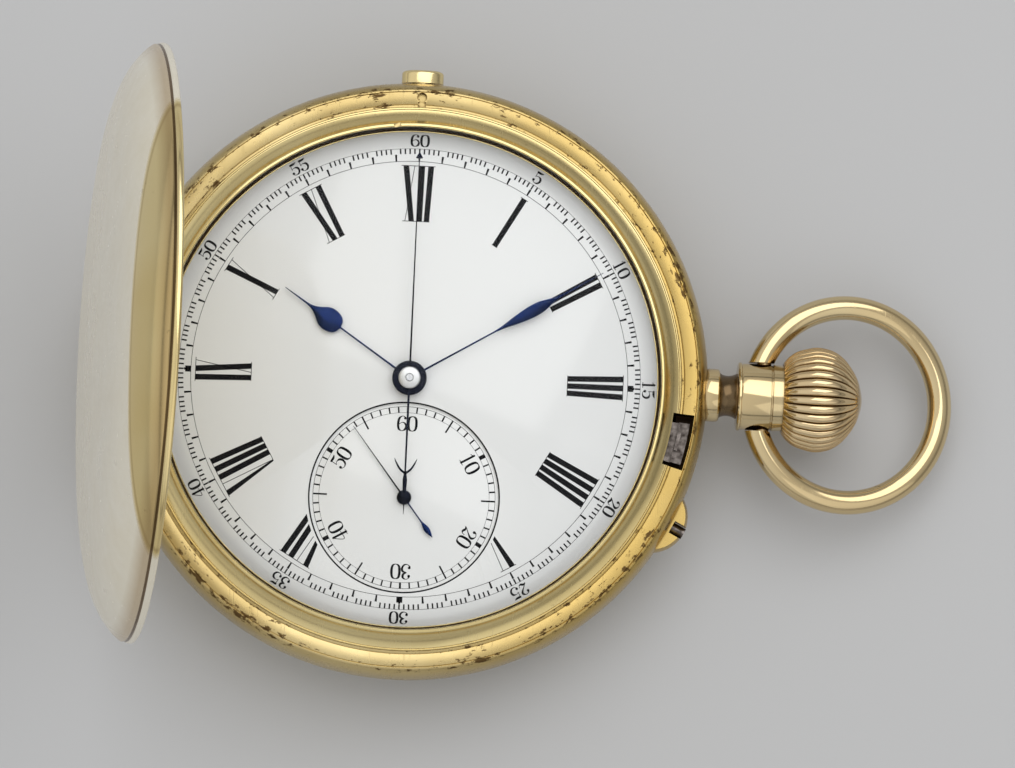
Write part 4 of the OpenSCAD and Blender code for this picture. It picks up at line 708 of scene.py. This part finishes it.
middle = lathe("case_band", middle_profile(), gold_case, seg=360, sharp=32)
catch_from, catch_to = catch_angle - 5.5, catch_angle + 5.8
stem_hole_r = 1.53
outside = 30.0
cut(middle, [arc(20.5, 25.0, catch_from, catch_to, 7.5, 11.5),
             arc(20.5, 24.4, 168, 177, 7.5, 11.5),
             drill(0.44, 9.2, 11.0, Matrix.Translation((0, 24.6 * S, 0))),
             box((-0.36, 23.75, 9.8), (0.36, 24.2, 10.6)),
             drill(stem_hole_r, 19.9, outside, on_rim(0)),
             box((19.9, -3.0, 5.2), (23.4, 3.0, 9.3)),
             drill(2.33, pendant_x, outside, on_rim(0)),
             drill(0.93, 19.9, outside, on_rim(90)),
             drill(0.53, 19.9, outside, on_rim(set_pin_angle)),
             box((-1.27, -2.8, 25.65), (1.27, 2.8, 29.0), on_rim(set_pin_angle)),
             box((-1.25, -1.88, 25.55), (1.25, 1.88, 29.0), on_rim(90)),
             box((-1.4, 19.9, 4.9), (1.4, 23.1, 6.95))], 32)


def in_catch_cut(c, normal):
    turn = math.degrees(math.atan2(c.y, c.x)) - catch_angle
    return -5.6 < turn < 5.9 and 20.4 * S < math.hypot(c.x, c.y) < 25.02 * S and 7.0 * S < c.z < 10.06 * S


# Painted shade: the walls of the catch slot get the near-black gold.
second_material(middle, gap_shade, in_catch_cut)
v, f = join_data(knuckle_parts(hinge_x, lid_seat_z, case_knuckles)
                 + knuckle_parts(hinge_x, back_seat_z, case_knuckles)
                 + knuckle_parts(-23.35, back_seat_z, cover_knuckles, 0.42))
middle_knuckles = make("case_knuckles", v, f, gold, sharp=40)
piece(middle, "case", "gold", "case_middle")
piece(middle_knuckles, "case", "gold")


# Bezel and crystal
lip_r = 22.22
bezel_low = 9.6
bezel_profile = [(21.56, dial_top + 0.04), (21.56, dial_top + 0.1), (21.6, dial_top + 0.15),
                 (21.64, dial_top + 0.15), (21.66, dial_top + 0.1), (21.8, dial_top + 0.1),
                 (21.84, dial_top + 0.5), (21.86, bezel_top - 0.12), (21.9, bezel_top - 0.04),
                 (21.96, bezel_top), (22.1, bezel_top), (22.17, bezel_top - 0.03), (lip_r, bezel_top - 0.1)]
for i in range(1, 25):
    t = i / 24
    a = math.radians(180 + 90 * t)
    hollow = (lip_r + 1.24 + 1.24 * math.cos(a), bezel_top - 0.1 + 1.1 * math.sin(a))
    slope = (lip_r + 1.24 * t, bezel_top - 0.1 - 1.1 * t)
    bezel_profile.append((0.45 * hollow[0] + 0.55 * slope[0], 0.45 * hollow[1] + 0.55 * slope[1]))
bezel_profile += [(23.48, lid_seat_z + 0.2), (23.5, lid_seat_z + 0.16), (23.52, lid_seat_z + 0.2),
                  (23.56, lid_seat_z + 0.22), (23.64, lid_seat_z + 0.2), (bezel_r - 0.02, lid_seat_z + 0.12),
                  (bezel_r - 0.01, lid_seat_z + 0.04), (bezel_r - 0.01, bezel_low), (21.9, bezel_low),
                  (21.9, dial_top + 0.05)]
bezel = lathe("bezel_ring", bezel_profile, gold_bezel, seg=360, sharp=32)
nick_at = (Matrix.Rotation(math.radians(95.3), 4, "Z") @ Matrix.Translation((22.05 * S, 0, 0))
           @ Matrix.Rotation(0.3, 4, "Z"))
cut(bezel, [arc(23.15, 24.2, catch_from, catch_to, 8.6, 12.6),
            box((-0.16, -0.3, 11.25), (0.16, 0.3, 11.8), nick_at)], 32)
# Painted shade: a near-black ring on the bezel's inner lip for the dark gap round the crystal and dial.
second_material(bezel, gap_shade, lambda c, normal: 21.645 * S < math.hypot(c.x, c.y) < 21.875 * S)
piece(bezel, "case", "gold", "bezel")

crystal_z, crystal_edge, crystal_rise, crystal_t, crystal_r = 10.9, 1.0, 1.35, 0.6, 22.14
sphere = (crystal_r ** 2 + crystal_rise ** 2) / (2 * crystal_rise)
top = crystal_z + crystal_edge + crystal_rise
outer = [(r, top - sphere + math.sqrt(sphere ** 2 - r ** 2)) for r in (crystal_r * i / 40 for i in range(41))]
glass_r = 21.83
outer = [p for p in outer if p[0] < glass_r - 0.12]
edge = [(glass_r - 0.1, crystal_z + crystal_edge + 0.02), (glass_r - 0.02, crystal_z + crystal_edge - 0.06),
        (glass_r, crystal_z + crystal_edge - 0.16), (glass_r, crystal_z), (glass_r - 0.24, crystal_z)]
inner = [(r, z - crystal_t) for r, z in outer if r < crystal_r - 0.6][::-1]
crystal = lathe("crystal_dome", outer + edge + inner, glass, seg=240, sharp=50)
crystal.visible_shadow = False
piece(crystal, "case", "crystal", "crystal")


# Dial plates
def dial_hole(r, y, top, n=160):
    """Tool for a round hole on the dial's upright line, from below the dials to a height."""
    return tool([(x, y + up) for x, up in (polar(r, i * 360 / n) for i in range(n))], 8, top)


dial_low = 9.1
sub_z = 9.65
dial = lathe("dial_plate", [(0.0, dial_top), (dial_r - 0.1, dial_top), (dial_r, dial_top - 0.1),
                            (dial_r, dial_low), (0.0, dial_low)], enamel, seg=240, sharp=50)
cut(dial, [dial_hole(8.2, sub_y, 11), dial_hole(8.68, sub_y, sub_z), dial_hole(1.35, 0, 11, 48)], 50)
bevel(dial, 0.05, 3, 60)
apply_all(dial)
shade(dial, 50)
piece(dial, "case", "enamel", "dial")

seconds_dial = lathe("seconds_plate", [(0.0, sub_z), (8.5, sub_z), (8.65, sub_z - 0.06), (8.65, dial_low),
                                       (0.0, dial_low)], enamel, seg=200, sharp=50)
place(seconds_dial, Matrix.Translation((0, sub_y * S, 0)))
cut(seconds_dial, [dial_hole(0.6, sub_y, 11, 40)], 50)
piece(seconds_dial, "case", "enamel", "seconds_dial")


# Printing on the dials

def sides(points):
    """Left and right edges of a stroke through (x, y, width) points."""
    left, right = [], []
    n = len(points)
    for i, (x, y, w) in enumerate(points):
        a = points[max(i - 1, 0)]
        b = points[min(i + 1, n - 1)]
        dx, dy = b[0] - a[0], b[1] - a[1]
        d = math.hypot(dx, dy) or 1
        nx, ny = -dy / d * w / 2, dx / d * w / 2
        left.append((x + nx, y + ny))
        right.append((x - nx, y - ny))
    return left, right


class Print:
    """Flat black marks a hair above an enamel surface."""

    def __init__(self, z, t=0.012):
        self.z = z
        self.t = t
        self.parts = []

    def poly(self, points):
        if len(points) > 2:
            self.parts.append(prism(points, self.z, self.z + self.t))

    def band(self, one, other):
        """Flat band between two lines of as many points."""
        verts = [(*p, self.z + self.t) for pair in zip(one, other) for p in pair]
        self.parts.append((verts, [(2 * i, 2 * i + 1, 2 * i + 3, 2 * i + 2) for i in range(len(one) - 1)]))

    def circle(self, cy, r, w):
        angles = [360 * i / 240 for i in range(241)]
        self.band(*[[(x, cy + y) for x, y in (polar(edge, a) for a in angles)]
                    for edge in (r - w / 2, r + w / 2)])

    def line(self, p, q, w, w2=None):
        left, right = sides([(*p, w), (*q, w2 or w)])
        self.poly([left[0], *right, left[1]])

    def ribbon(self, points):
        """Stroke through (x, y, width) points with rounded ends."""
        self.band(*sides(points))
        for x, y, w in (points[0], points[-1]):
            ring = [(x + dx, y + dy, self.z + self.t) for dx, dy in (polar(w / 2, k * 30) for k in range(12))]
            self.parts.append((ring, [tuple(range(12))]))

    def build(self, name, body="case"):
        v, f = join_data(self.parts)
        me = bpy.data.meshes.new(name)
        me.from_pydata([(x * S, y * S, z * S) for x, y, z in v], [], f)
        me.materials.append(ink)
        o = in_scene(name, me)
        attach(o, body)


def local(hour_deg):
    """Maps (right, up) at a clock angle to the dial plane, up being outward."""
    a = math.radians(hour_deg)
    u = (math.sin(a), math.cos(a))
    v = (math.cos(a), -math.sin(a))
    return lambda x, y: (x * v[0] + y * u[0], x * v[1] + y * u[1])


numeral_in, numeral_out = 13.75, 18.6
bar_w = 0.5
hair_w = 0.055
sub_clip = 8.55
dial_print = Print(dial_top)


def off_seconds(points):
    """Cuts off the part of a convex outline that lies in the seconds dial, along a straight line."""
    def away(p):
        return math.hypot(p[0], p[1] - sub_y)

    def between(t):
        return [a + (b - a) * t for a, b in zip(near, out)]

    ends = sorted(points, key=away)
    if away(ends[0]) >= sub_clip:
        return points
    near = [(a + b) / 2 for a, b in zip(ends[0], ends[1])]
    out = [(a + b) / 2 for a, b in zip(ends[-1], ends[-2])]
    lo, hi = 0.0, 1.0
    for _ in range(30):
        t = (lo + hi) / 2
        if away(between(t)) < sub_clip:
            lo = t
        else:
            hi = t
    px, py = between(hi)
    keep = []
    for a, b in zip(points, points[1:] + points[:1]):
        da = (a[0] - px) * px + (a[1] - py) * (py - sub_y)
        db = (b[0] - px) * px + (b[1] - py) * (py - sub_y)
        if da >= 0:
            keep.append(a)
        if (da >= 0) != (db >= 0):
            t = da / (da - db)
            keep.append((a[0] + (b[0] - a[0]) * t, a[1] + (b[1] - a[1]) * t))
    return keep


def stroke(f, x_top, x_bottom, w_top, w_bottom):
    dial_print.poly(off_seconds([f(x_top - w_top / 2, numeral_out), f(x_top + w_top / 2, numeral_out),
                                 f(x_bottom + w_bottom / 2, numeral_in),
                                 f(x_bottom - w_bottom / 2, numeral_in)]))


def serif(f, x0, x1, y):
    low, high = y - hair_w / 2, y + hair_w / 2
    dial_print.poly(off_seconds([f(x0, low), f(x1, low), f(x1, high), f(x0, high)]))


def roman(hour, text):
    """Draws a numeral with its feet to the centre. Strokes fan out along the radii."""
    f = local(hour * 30)
    widths = {"I": 0.78, "V": 1.45, "X": 1.35}
    total = sum(widths[c] for c in text)
    x = -total / 2
    k = numeral_in / numeral_out * 1.08
    for c in text:
        w = widths[c]
        mid = x + w / 2
        if c == "I":
            stroke(f, mid, mid * k, bar_w, bar_w * 0.94)
        elif c == "X":
            stroke(f, mid - 0.33, (mid + 0.2) * k, bar_w, bar_w * 0.94)
            stroke(f, mid + 0.42, (mid - 0.5) * k, hair_w, hair_w)
            serif(f, mid - 0.75, mid + 0.62, numeral_out)
            serif(f, (mid - 0.78) * k, (mid + 0.6) * k, numeral_in)
        else:
            stroke(f, mid - 0.42, (mid + 0.1) * k, bar_w, bar_w * 0.3)
            stroke(f, mid + 0.48, (mid + 0.16) * k, hair_w, hair_w)
            serif(f, mid - 0.8, mid + 0.7, numeral_out)
        x += w
    first, last = text[0], text[-1]
    serif(f, -total / 2 + 0.02, total / 2 - 0.02, numeral_out)
    if first != "V" or len(text) > 1:
        left = -total / 2 + (0.9 if first == "V" else 0.02)
        right = total / 2 - (0.5 if last == "V" else 0.02)
        serif(f, left * k, right * k, numeral_in)


for hour, text in [(12, "XII"), (1, "I"), (2, "II"), (3, "III"), (4, "IIII"), (5, "V"), (7, "VII"),
                   (8, "VIII"), (9, "IX"), (10, "X"), (11, "XI")]:
    roman(hour, text)

# Minute track with fifths of a second outside and seconds inside
outer_track, inner_track = 20.1, 19.0
tick, tick_w = 0.46, 0.13
dial_print.circle(0, outer_track, 0.03)
dial_print.circle(0, inner_track, 0.04)
dial_print.circle(sub_y, 8.27, 0.13)
for i in range(300):
    f = local(i * 1.2)
    if i % 5:
        dial_print.line(f(0, outer_track - tick), f(0, outer_track), tick_w)
    else:
        dial_print.line(f(0, inner_track), f(0, inner_track + 0.6), tick_w, 0.19)
for deg in (90, 180, 270):
    f = local(deg)
    dial_print.poly([f(-0.26, inner_track), f(0.26, inner_track), f(0.26, 19.5), f(-0.26, 19.5)])
for i in range(12):
    f = local(i * 30)
    dial_print.line(f(0, outer_track - tick), f(0, outer_track), tick_w)

# Strokes of the digits as (x, y, width), on a body 1 high and about 0.6 wide
T = 0.115
H = 0.035
digits = {
    "0": [[(0.30, 1.0, H), (0.12, 0.88, T), (0.07, 0.5, T * 1.2), (0.12, 0.12, T), (0.30, 0.0, H),
           (0.48, 0.12, T), (0.53, 0.5, T * 1.2), (0.48, 0.88, T), (0.30, 1.0, H)]],
    "1": [[(0.16, 0.84, H), (0.30, 0.95, H * 1.5), (0.32, 1.0, T)], [(0.32, 1.0, T), (0.32, 0.0, T)],
          [(0.16, 0.0, H), (0.48, 0.0, H)]],
    "2": [[(0.12, 0.76, T * 1.3), (0.13, 0.9, T * 0.5), (0.30, 1.0, H), (0.48, 0.86, T), (0.48, 0.68, T),
           (0.32, 0.42, H * 1.6), (0.12, 0.14, H), (0.08, 0.04, H)],
          [(0.08, 0.05, H), (0.22, 0.13, T), (0.38, 0.04, T), (0.50, 0.10, H), (0.53, 0.26, H)]],
    "3": [[(0.12, 0.78, T * 1.3), (0.14, 0.92, T * 0.4), (0.30, 1.0, H), (0.46, 0.88, T), (0.44, 0.66, T),
           (0.26, 0.55, H)],
          [(0.26, 0.55, H), (0.48, 0.46, T), (0.52, 0.24, T), (0.40, 0.03, T * 0.7), (0.22, 0.0, H),
           (0.09, 0.12, T * 0.6), (0.11, 0.22, T * 1.3)]],
    "4": [[(0.38, 1.0, H), (0.08, 0.34, H), (0.55, 0.34, H)], [(0.40, 0.98, T), (0.40, 0.0, T)],
          [(0.26, 0.0, H), (0.54, 0.0, H)]],
    "5": [[(0.13, 0.98, H), (0.11, 0.52, H)], [(0.12, 0.95, T), (0.34, 0.95, T), (0.50, 1.02, H)],
          [(0.11, 0.53, H), (0.26, 0.62, H), (0.46, 0.54, T), (0.52, 0.3, T), (0.42, 0.06, T * 0.8),
           (0.22, 0.0, H), (0.09, 0.12, T * 0.5), (0.10, 0.2, T * 1.3)]],
    "6": [[(0.47, 0.86, T * 1.2), (0.42, 0.97, T * 0.4), (0.30, 1.0, H), (0.13, 0.84, T),
           (0.07, 0.45, T * 1.1), (0.12, 0.12, T), (0.30, 0.0, H), (0.48, 0.12, T), (0.53, 0.32, T * 0.9),
           (0.45, 0.52, T * 0.7), (0.30, 0.57, H), (0.14, 0.46, H), (0.09, 0.36, H)]],
}


def number(target, text, f, height, spread, y_at, weight, wide):
    """Draws digits centred on a local frame, tops up."""
    advance = spread * height
    for i, c in enumerate(text):
        x_at = advance * (i + 0.5 - len(text) / 2)
        for run in digits[c]:
            points = [(x_at + (x - 0.3) * height * wide, y_at + (y - 0.5) * height, w * height * weight)
                      for x, y, w in run]
            if len(points) > 2:
                points = spline(points, 7)
            target.ribbon([(*f(x, y), w) for x, y, w in points])


for i in range(12):
    number(dial_print, str(i * 5 or 60), local(i * 30), 1.02, 0.83, 20.82, 1.5, 1.35)
dial_print.build("dial_figures")

sub_print = Print(sub_z)


def sub_local(deg):
    f = local(deg)
    return lambda x, y: (f(x, y)[0], f(x, y)[1] + sub_y)


sub_out, sub_in = 7.9, 7.4
sub_print.circle(sub_y, 7.92, 0.035)
sub_print.circle(sub_y, sub_in, 0.025)
for i in range(60):
    f = sub_local(i * 6)
    if i % 10 == 5:
        sub_print.line(f(0, 6.7), f(0, sub_out), 0.14)
    elif i % 10 == 0:
        sub_print.line(f(0, 7.38), f(0, sub_out), 0.34 if i % 30 else 0.18)
    else:
        sub_print.line(f(0, sub_in), f(0, sub_out), 0.13)
for i in range(6):
    number(sub_print, str(i * 10 or 60), sub_local(i * 60), 1.28, 0.7, 6.45, 1.25, 1.18)
sub_print.build("seconds_figures")


# Hands

def at_point(at, turn=0.0):
    return Matrix.Translation((at[0] * S, at[1] * S, 0)) @ Matrix.Rotation(math.radians(-turn), 4, "Z")


def hand_mesh(name, outline, z, t, mat, angle, at=(0, 0), bevel_w=0.035):
    """Flat hand from its right-hand outline, mirrored, along +Y, then turned clockwise."""
    right = [(w, y) for y, w in outline]
    left = [(-w, y) for y, w in outline[::-1]]
    o = make(name, *prism(right + left, z, z + t), mat, sharp=30)
    bevel(o, bevel_w, 2, 30)
    apply_all(o)
    shade(o, 25)
    return place(o, at_point(at, angle))


def boss(name, profile, mat, at=(0, 0)):
    return place(lathe(name, profile, mat, seg=72, sharp=35), at_point(at))


hour_z, minute_z, sweep_z, second_z = 10.25, 10.7, 11.2, 9.92
hand_t = 0.12
hour_outline = ([(1.2, 0.09), (4.0, 0.075), (7.2, 0.07)]
                + spline([(7.45, 0.08), (7.6, 0.55), (8.0, 0.88), (8.7, 1.0), (9.3, 0.85), (9.8, 0.5),
                          (10.4, 0.2), (11.0, 0.09), (12.2, 0.06), (13.4, 0.03)], 6))
hour = hand_mesh("hour_hand_pear", hour_outline, hour_z, hand_t, blued, hour_angle)
piece(hour, "hour_hand", "blued_steel", "hour_hand")
rise = hour_z + 0.25
hour_boss = [(1.06, hour_z - 0.1), (1.35, hour_z - 0.1), (1.35, hour_z + 0.2), (1.3, rise), (1.06, rise)]
piece(boss("hour_boss", hour_boss, black_steel), "hour_hand", "blued_steel")

minute_outline = ([(1.3, 0.09), (5.0, 0.075), (8.3, 0.07)]
                  + spline([(8.5, 0.07), (9.4, 0.16), (10.6, 0.36), (11.8, 0.5), (12.5, 0.52), (13.2, 0.46),
                            (14.0, 0.26), (14.8, 0.1), (16.5, 0.06), (19.2, 0.025)], 6))
minute = hand_mesh("minute_hand_leaf", minute_outline, minute_z, hand_t, blued, minute_angle)
piece(minute, "minute_hand", "blued_steel", "minute_hand")
minute_boss = [(0.79, minute_z - 0.1), (1.42, minute_z - 0.1), (1.5, minute_z - 0.04),
               (1.5, minute_z + 0.17), (1.44, minute_z + 0.25), (0.79, minute_z + 0.25)]
piece(boss("minute_boss", minute_boss, black_steel), "minute_hand", "blued_steel")

needle = [(0.7, 0.085), (10.0, 0.06), (19.1, 0.04), (19.15, 0.3), (19.2, 0.3), (19.7, 0.02)]
sweep = hand_mesh("sweep_needle", needle, sweep_z, hand_t, black_steel, 0, bevel_w=0.02)
piece(sweep, "chrono_runner", "steel", "sweep_hand")
tail = [(-11.9, 0.015), (-11.0, 0.06), (-9.6, 0.17), (-8.9, 0.2), (-8.4, 0.12), (-8.2, 0.075), (-0.7, 0.1)]
tail_hand = hand_mesh("sweep_tail", tail, sweep_z, hand_t, black_steel, 0, bevel_w=0.02)
piece(tail_hand, "chrono_runner", "steel")
horns = []
for s in (-1, 1):
    left, right = sides(spline([(0.0, -8.35, 0.2), (s * 0.45, -8.0, 0.18), (s * 0.8, -7.45, 0.13),
                                (s * 0.98, -7.05, 0.03)], 8))
    horns.append(prism(left + right[::-1], sweep_z, sweep_z + hand_t))
v, f = join_data(horns)
piece(make("sweep_anchor", v, f, black_steel, sharp=30), "chrono_runner", "steel")
cap_z = sweep_z - 0.13
cap_profiles = [
    ("sweep_cap", cap_steel, [(0.31, 0.0), (0.92, 0.0), (0.95, 0.05), (0.95, 0.42), (0.9, 0.5), (0.84, 0.53),
                              (0.36, 0.55), (0.33, 0.5), (0.31, 0.4)]),
    ("sweep_cap_ring", black_steel, [(0.13, 0.4), (0.30, 0.4), (0.30, 0.54), (0.27, 0.57), (0.15, 0.57),
                                     (0.13, 0.54)]),
    ("sweep_cap_pip", cap_steel, [(0.0, 0.4), (0.12, 0.4), (0.12, 0.58), (0.0, 0.6)])]
for name, mat, profile in cap_profiles:
    piece(boss(name, [(r, cap_z + z) for r, z in profile], mat), "chrono_runner", "steel")

sub_at = (0, sub_y)
second = hand_mesh("seconds_needle", [(0.4, 0.07), (4.0, 0.045), (7.6, 0.02)], second_z, 0.1, black_steel,
                   seconds_angle, sub_at, 0.015)
piece(second, "fourth_wheel", "blued_steel", "seconds_hand")
counter_outline = [(0.4, 0.07)] + spline([(1.6, 0.055), (2.6, 0.07), (3.1, 0.2), (3.5, 0.24), (3.9, 0.14),
                                          (4.26, 0.02)], 5)
counter = hand_mesh("seconds_counter", counter_outline, second_z, 0.1, blued, seconds_angle + 180, sub_at,
                    0.02)
piece(counter, "fourth_wheel", "blued_steel")
piece(boss("seconds_boss", [(0.0, second_z + 0.31), (0.35, second_z + 0.3), (0.6, second_z + 0.2),
                            (0.64, second_z + 0.08), (0.64, second_z - 0.1), (0.31, second_z - 0.1),
                            (0.0, second_z - 0.05)], black_steel, sub_at), "fourth_wheel", "blued_steel")


# Pendant, sleeve and crown

def lathe_x(name, profile, mat, seg=96):
    """Turns a profile of (r, x) about the stem's axis."""
    return place(lathe(name, profile, mat, seg=seg, sharp=30), along_x())


pendant_profile = [(stem_hole_r, pendant_x), (2.24, pendant_x), (2.3, 25.85), (2.32, 26.6), (2.3, 26.95),
                   (2.2, 27.08), (2.0, 27.12), (1.86, 27.3), (1.78, 27.6), (1.76, 27.85), (1.8, 28.15),
                   (1.9, 28.42), (1.98, 28.55), (1.98, collar_x), (stem_hole_r, collar_x)]
pendant = lathe_x("pendant_neck", pendant_profile, gold_neck_shaded)
# The neck keeps the dark gold of painted shade, while the flange gets the bow's gold.
second_material(pendant, gold_bow, lambda c, normal: c.x < 27.06 * S)
piece(pendant, "case", "gold", "pendant")

sleeve_profile = [(stem_hole_r, collar_x), (2.82, collar_x), (2.94, collar_x + 0.06), (3.0, collar_x + 0.16),
                  (2.98, collar_x + 0.3), (2.9, collar_x + 0.36), (2.88, collar_x + 0.42),
                  (2.9, collar_x + 0.48), (2.91, 31.5), (2.9, 31.55), (2.8, 31.6), (2.8, 31.72),
                  (2.9, 31.77), (2.88, 32.4), (2.86, 33.45), (stem_hole_r, 33.5)]
sleeve = lathe_x("bow_sleeve_tube", sleeve_profile, gold_bow, seg=128)
piece(sleeve, "case", "gold", "bow_sleeve")

# Outline of the crown as (radius, length), both as parts of the whole
crown_outline = [(0.68, 0.0), (0.70, 0.01), (0.74, 0.03), (0.79, 0.06), (0.87, 0.125), (0.92, 0.19),
                 (0.957, 0.27), (0.99, 0.36), (1.0, 0.43), (0.985, 0.52), (0.935, 0.63), (0.84, 0.73),
                 (0.72, 0.81), (0.55, 0.89), (0.39, 0.945), (0.2, 0.985), (0.06, 1.0)]
ribs = 34


def ring(r, z, seg):
    return [(*polar(r, k * 360 / seg), z) for k in range(seg)]


def crown_mesh():
    """Crown with rounded ribs along its outline and a hollow for the sleeve at its foot."""
    line = spline(crown_outline, 4)
    seg = ribs * 12
    verts = []
    for r, x in line:
        rr = r * crown_r
        fade_in = min(1.0, max(0.0, (x + 0.01) / 0.07))
        fade_out = min(1.0, max(0.0, (0.965 - x) / 0.06))
        depth = 0.34 * fade_in * fade_out * min(1.0, rr / 3.2)
        for k in range(seg):
            lobe = abs(math.sin(math.pi * ((k / 12) % 1.0))) ** 0.42
            verts.append((*polar(rr - depth * (1 - lobe), k * 360 / seg), x * crown_l))
    tip = len(verts)
    base = tip + 1
    verts += [(0, 0, crown_l)] + ring(2.95, 0.0, seg) + ring(2.95, 1.5, seg) + ring(0.98, 1.5, seg)
    faces = skin(len(line), seg)
    faces += [(tip - seg + k, tip - seg + (k + 1) % seg, tip) for k in range(seg)]
    faces += [((k + 1) % seg, k, base + k, base + (k + 1) % seg) for k in range(seg)]
    faces += [(b, a, d, c) for a, b, c, d in skin(3, seg, base)]
    return verts, faces


v, f = crown_mesh()
crown = make("crown_ribbed", v, f, gold_crown, sharp=50)
place(crown, along_x(collar_end))
piece(crown, "crown", "gold", "crown")


# Bow
def tube(name, path, radius, mat, seg):
    """Wire along a path in the xy plane."""
    verts = []
    n = len(path)
    for i in range(n):
        p = Vector(path[i])
        t = (Vector(path[min(i + 1, n - 1)]) - Vector(path[max(i - 1, 0)])).normalized()
        side = t.cross(Vector((0, 0, 1))).normalized()
        nrm = side.cross(t).normalized()
        for k in range(seg):
            c, s = polar(radius, k * 360 / seg)
            verts.append(tuple(p + side * c + nrm * s))
    return make(name, verts, capped(n, seg), mat, sharp=50)


bow_reach, bow_sway = 7.67, -0.2
bow_end = collar_r + 0.1
arc_end = 180 - math.degrees(math.asin((bow_end - 0.8) / bow_r))
path = []
steps = 132
for i in range(steps + 1):
    x, y = polar(bow_r, -arc_end + 2 * arc_end * i / steps)
    path.append((x + bow_reach, y + bow_sway, 0.0))
bow = tube("bow_ring", path, bow_wire, gold_bow, seg=40)
cut(bow, [box((-4.0, -bow_end, -2.0), (4.0, bow_end, 2.0))], 50)
on_pivot = Matrix.Translation((pivot_x * S, 0, stem_z * S)) @ Matrix.Rotation(math.radians(bow_droop), 4, "Y")
place(bow, on_pivot)
piece(bow, "bow", "gold", "bow")
pin_profile = [(0.0, 2.05), (0.57, 2.05), (0.62, 2.1), (0.62, 3.3), (0.0, 3.3)]
for side in (-1, 1):
    pin = lathe("bow_pin", pin_profile, gold_bow, seg=40)
    place(pin, on_pivot @ Matrix.Rotation(math.radians(-90 * side), 4, "X"))
    piece(pin, "bow", "gold")


# Button at 12, and the materials of the setting pin, its guard and the springs
def domed_cap(name, outline, z0, z1, crown_h, mat, shrink=0.82):
    """Cap on an outline with straight sides and a domed top."""
    levels = [(1.0, z0), (1.0, z1 - crown_h), (0.985, z1 - crown_h * 0.7), (0.94, z1 - crown_h * 0.4),
              (shrink, z1 - crown_h * 0.12), (shrink * 0.6, z1 - crown_h * 0.02), (0.02, z1)]
    verts = [(x * k, y * k, z) for k, z in levels for x, y in outline]
    return make(name, verts, capped(len(levels), len(outline)), mat, sharp=40)


cap_outline = [(math.cos(math.radians(a)) * 1.2, math.sin(math.radians(a)) * 1.83) for a in range(0, 360, 8)]
cap = domed_cap("button_cap", cap_outline, 26.15, 27.3, 0.35, gold)
place(cap, on_rim(90))
piece(cap, "chrono_pusher", "gold", "chrono_pusher")
shaft = boss("button_shaft", [(0.0, 20.9), (0.85, 20.9), (0.9, 20.95), (0.9, 26.2), (0.0, 26.2)], gold)
place(shaft, on_rim(90))
piece(shaft, "chrono_pusher", "gold")

for name, mat in [("set_pin_guard", gold_case), ("set_pin", dark_steel), ("lock_spring", dark_steel),
                  ("lid_spring", dark_steel)]:
    nodes[name].data.materials.clear()
    nodes[name].data.materials.append(mat)


# Floor, backdrop, lights and camera
floor_size = 1500
corners = [(x * floor_size, y * floor_size, -0.02) for x, y in ((-1, -1), (1, -1), (1, 1), (-1, 1))]
paper = rough_material("floor_paper", (9.0, 3.0, 0.5), (0.545, 0.548, 0.552), (0.525, 0.528, 0.532), 0.9, 0.1)
floor = make("floor", corners, [(0, 1, 2, 3)], paper, smooth=False)


def area(name, at, size, power):
    """Square lamp turned to the middle of the watch."""
    data = bpy.data.lights.new(name, "AREA")
    data.shape = "RECTANGLE"
    data.size = size
    data.size_y = size
    data.energy = power
    o = in_scene(name, data)
    o.location = at
    o.rotation_euler = (-Vector(at)).to_track_quat("-Z", "Y").to_euler()


area("key", (0.16, 0.46, 0.85), 0.95, 4.1)
area("fill", (0.45, -0.50, 0.60), 0.8, 0.6)

world = bpy.data.worlds.new("studio")
bpy.context.scene.world = world
backdrop = Tree(world)
background = backdrop.tree.nodes["Background"]
x, y, z = backdrop.split(backdrop.add("ShaderNodeTexCoord").outputs["Generated"])
sky = backdrop.ramp(z, (0.0, 0.42), (0.27, 0.46), (0.295, 0.14), (0.34, 0.14), (0.365, 0.48), (0.65, 0.62),
                    (1.0, 0.66))
backdrop.link(sky, background.inputs[0])
backdrop.link(backdrop.math("MULTIPLY_ADD", x, -0.36, 1.11), background.inputs[1])

cam_data = bpy.data.cameras.new("camera")
cam_data.sensor_fit = "HORIZONTAL"
cam_data.sensor_width = 36.0
cam_data.lens = 261.05
cam_data.clip_start = 0.01
cam_data.clip_end = 10.0
cam = in_scene("camera", cam_data)
cam.location = (-2.9712 * S, -49.3085 * S, 647.9462 * S)
cam.rotation_euler = Euler((math.radians(4.362), math.radians(-1.229), math.radians(2.542)), "XYZ")
bpy.context.scene.camera = cam
bpy.context.scene.view_settings.view_transform = "Standard"
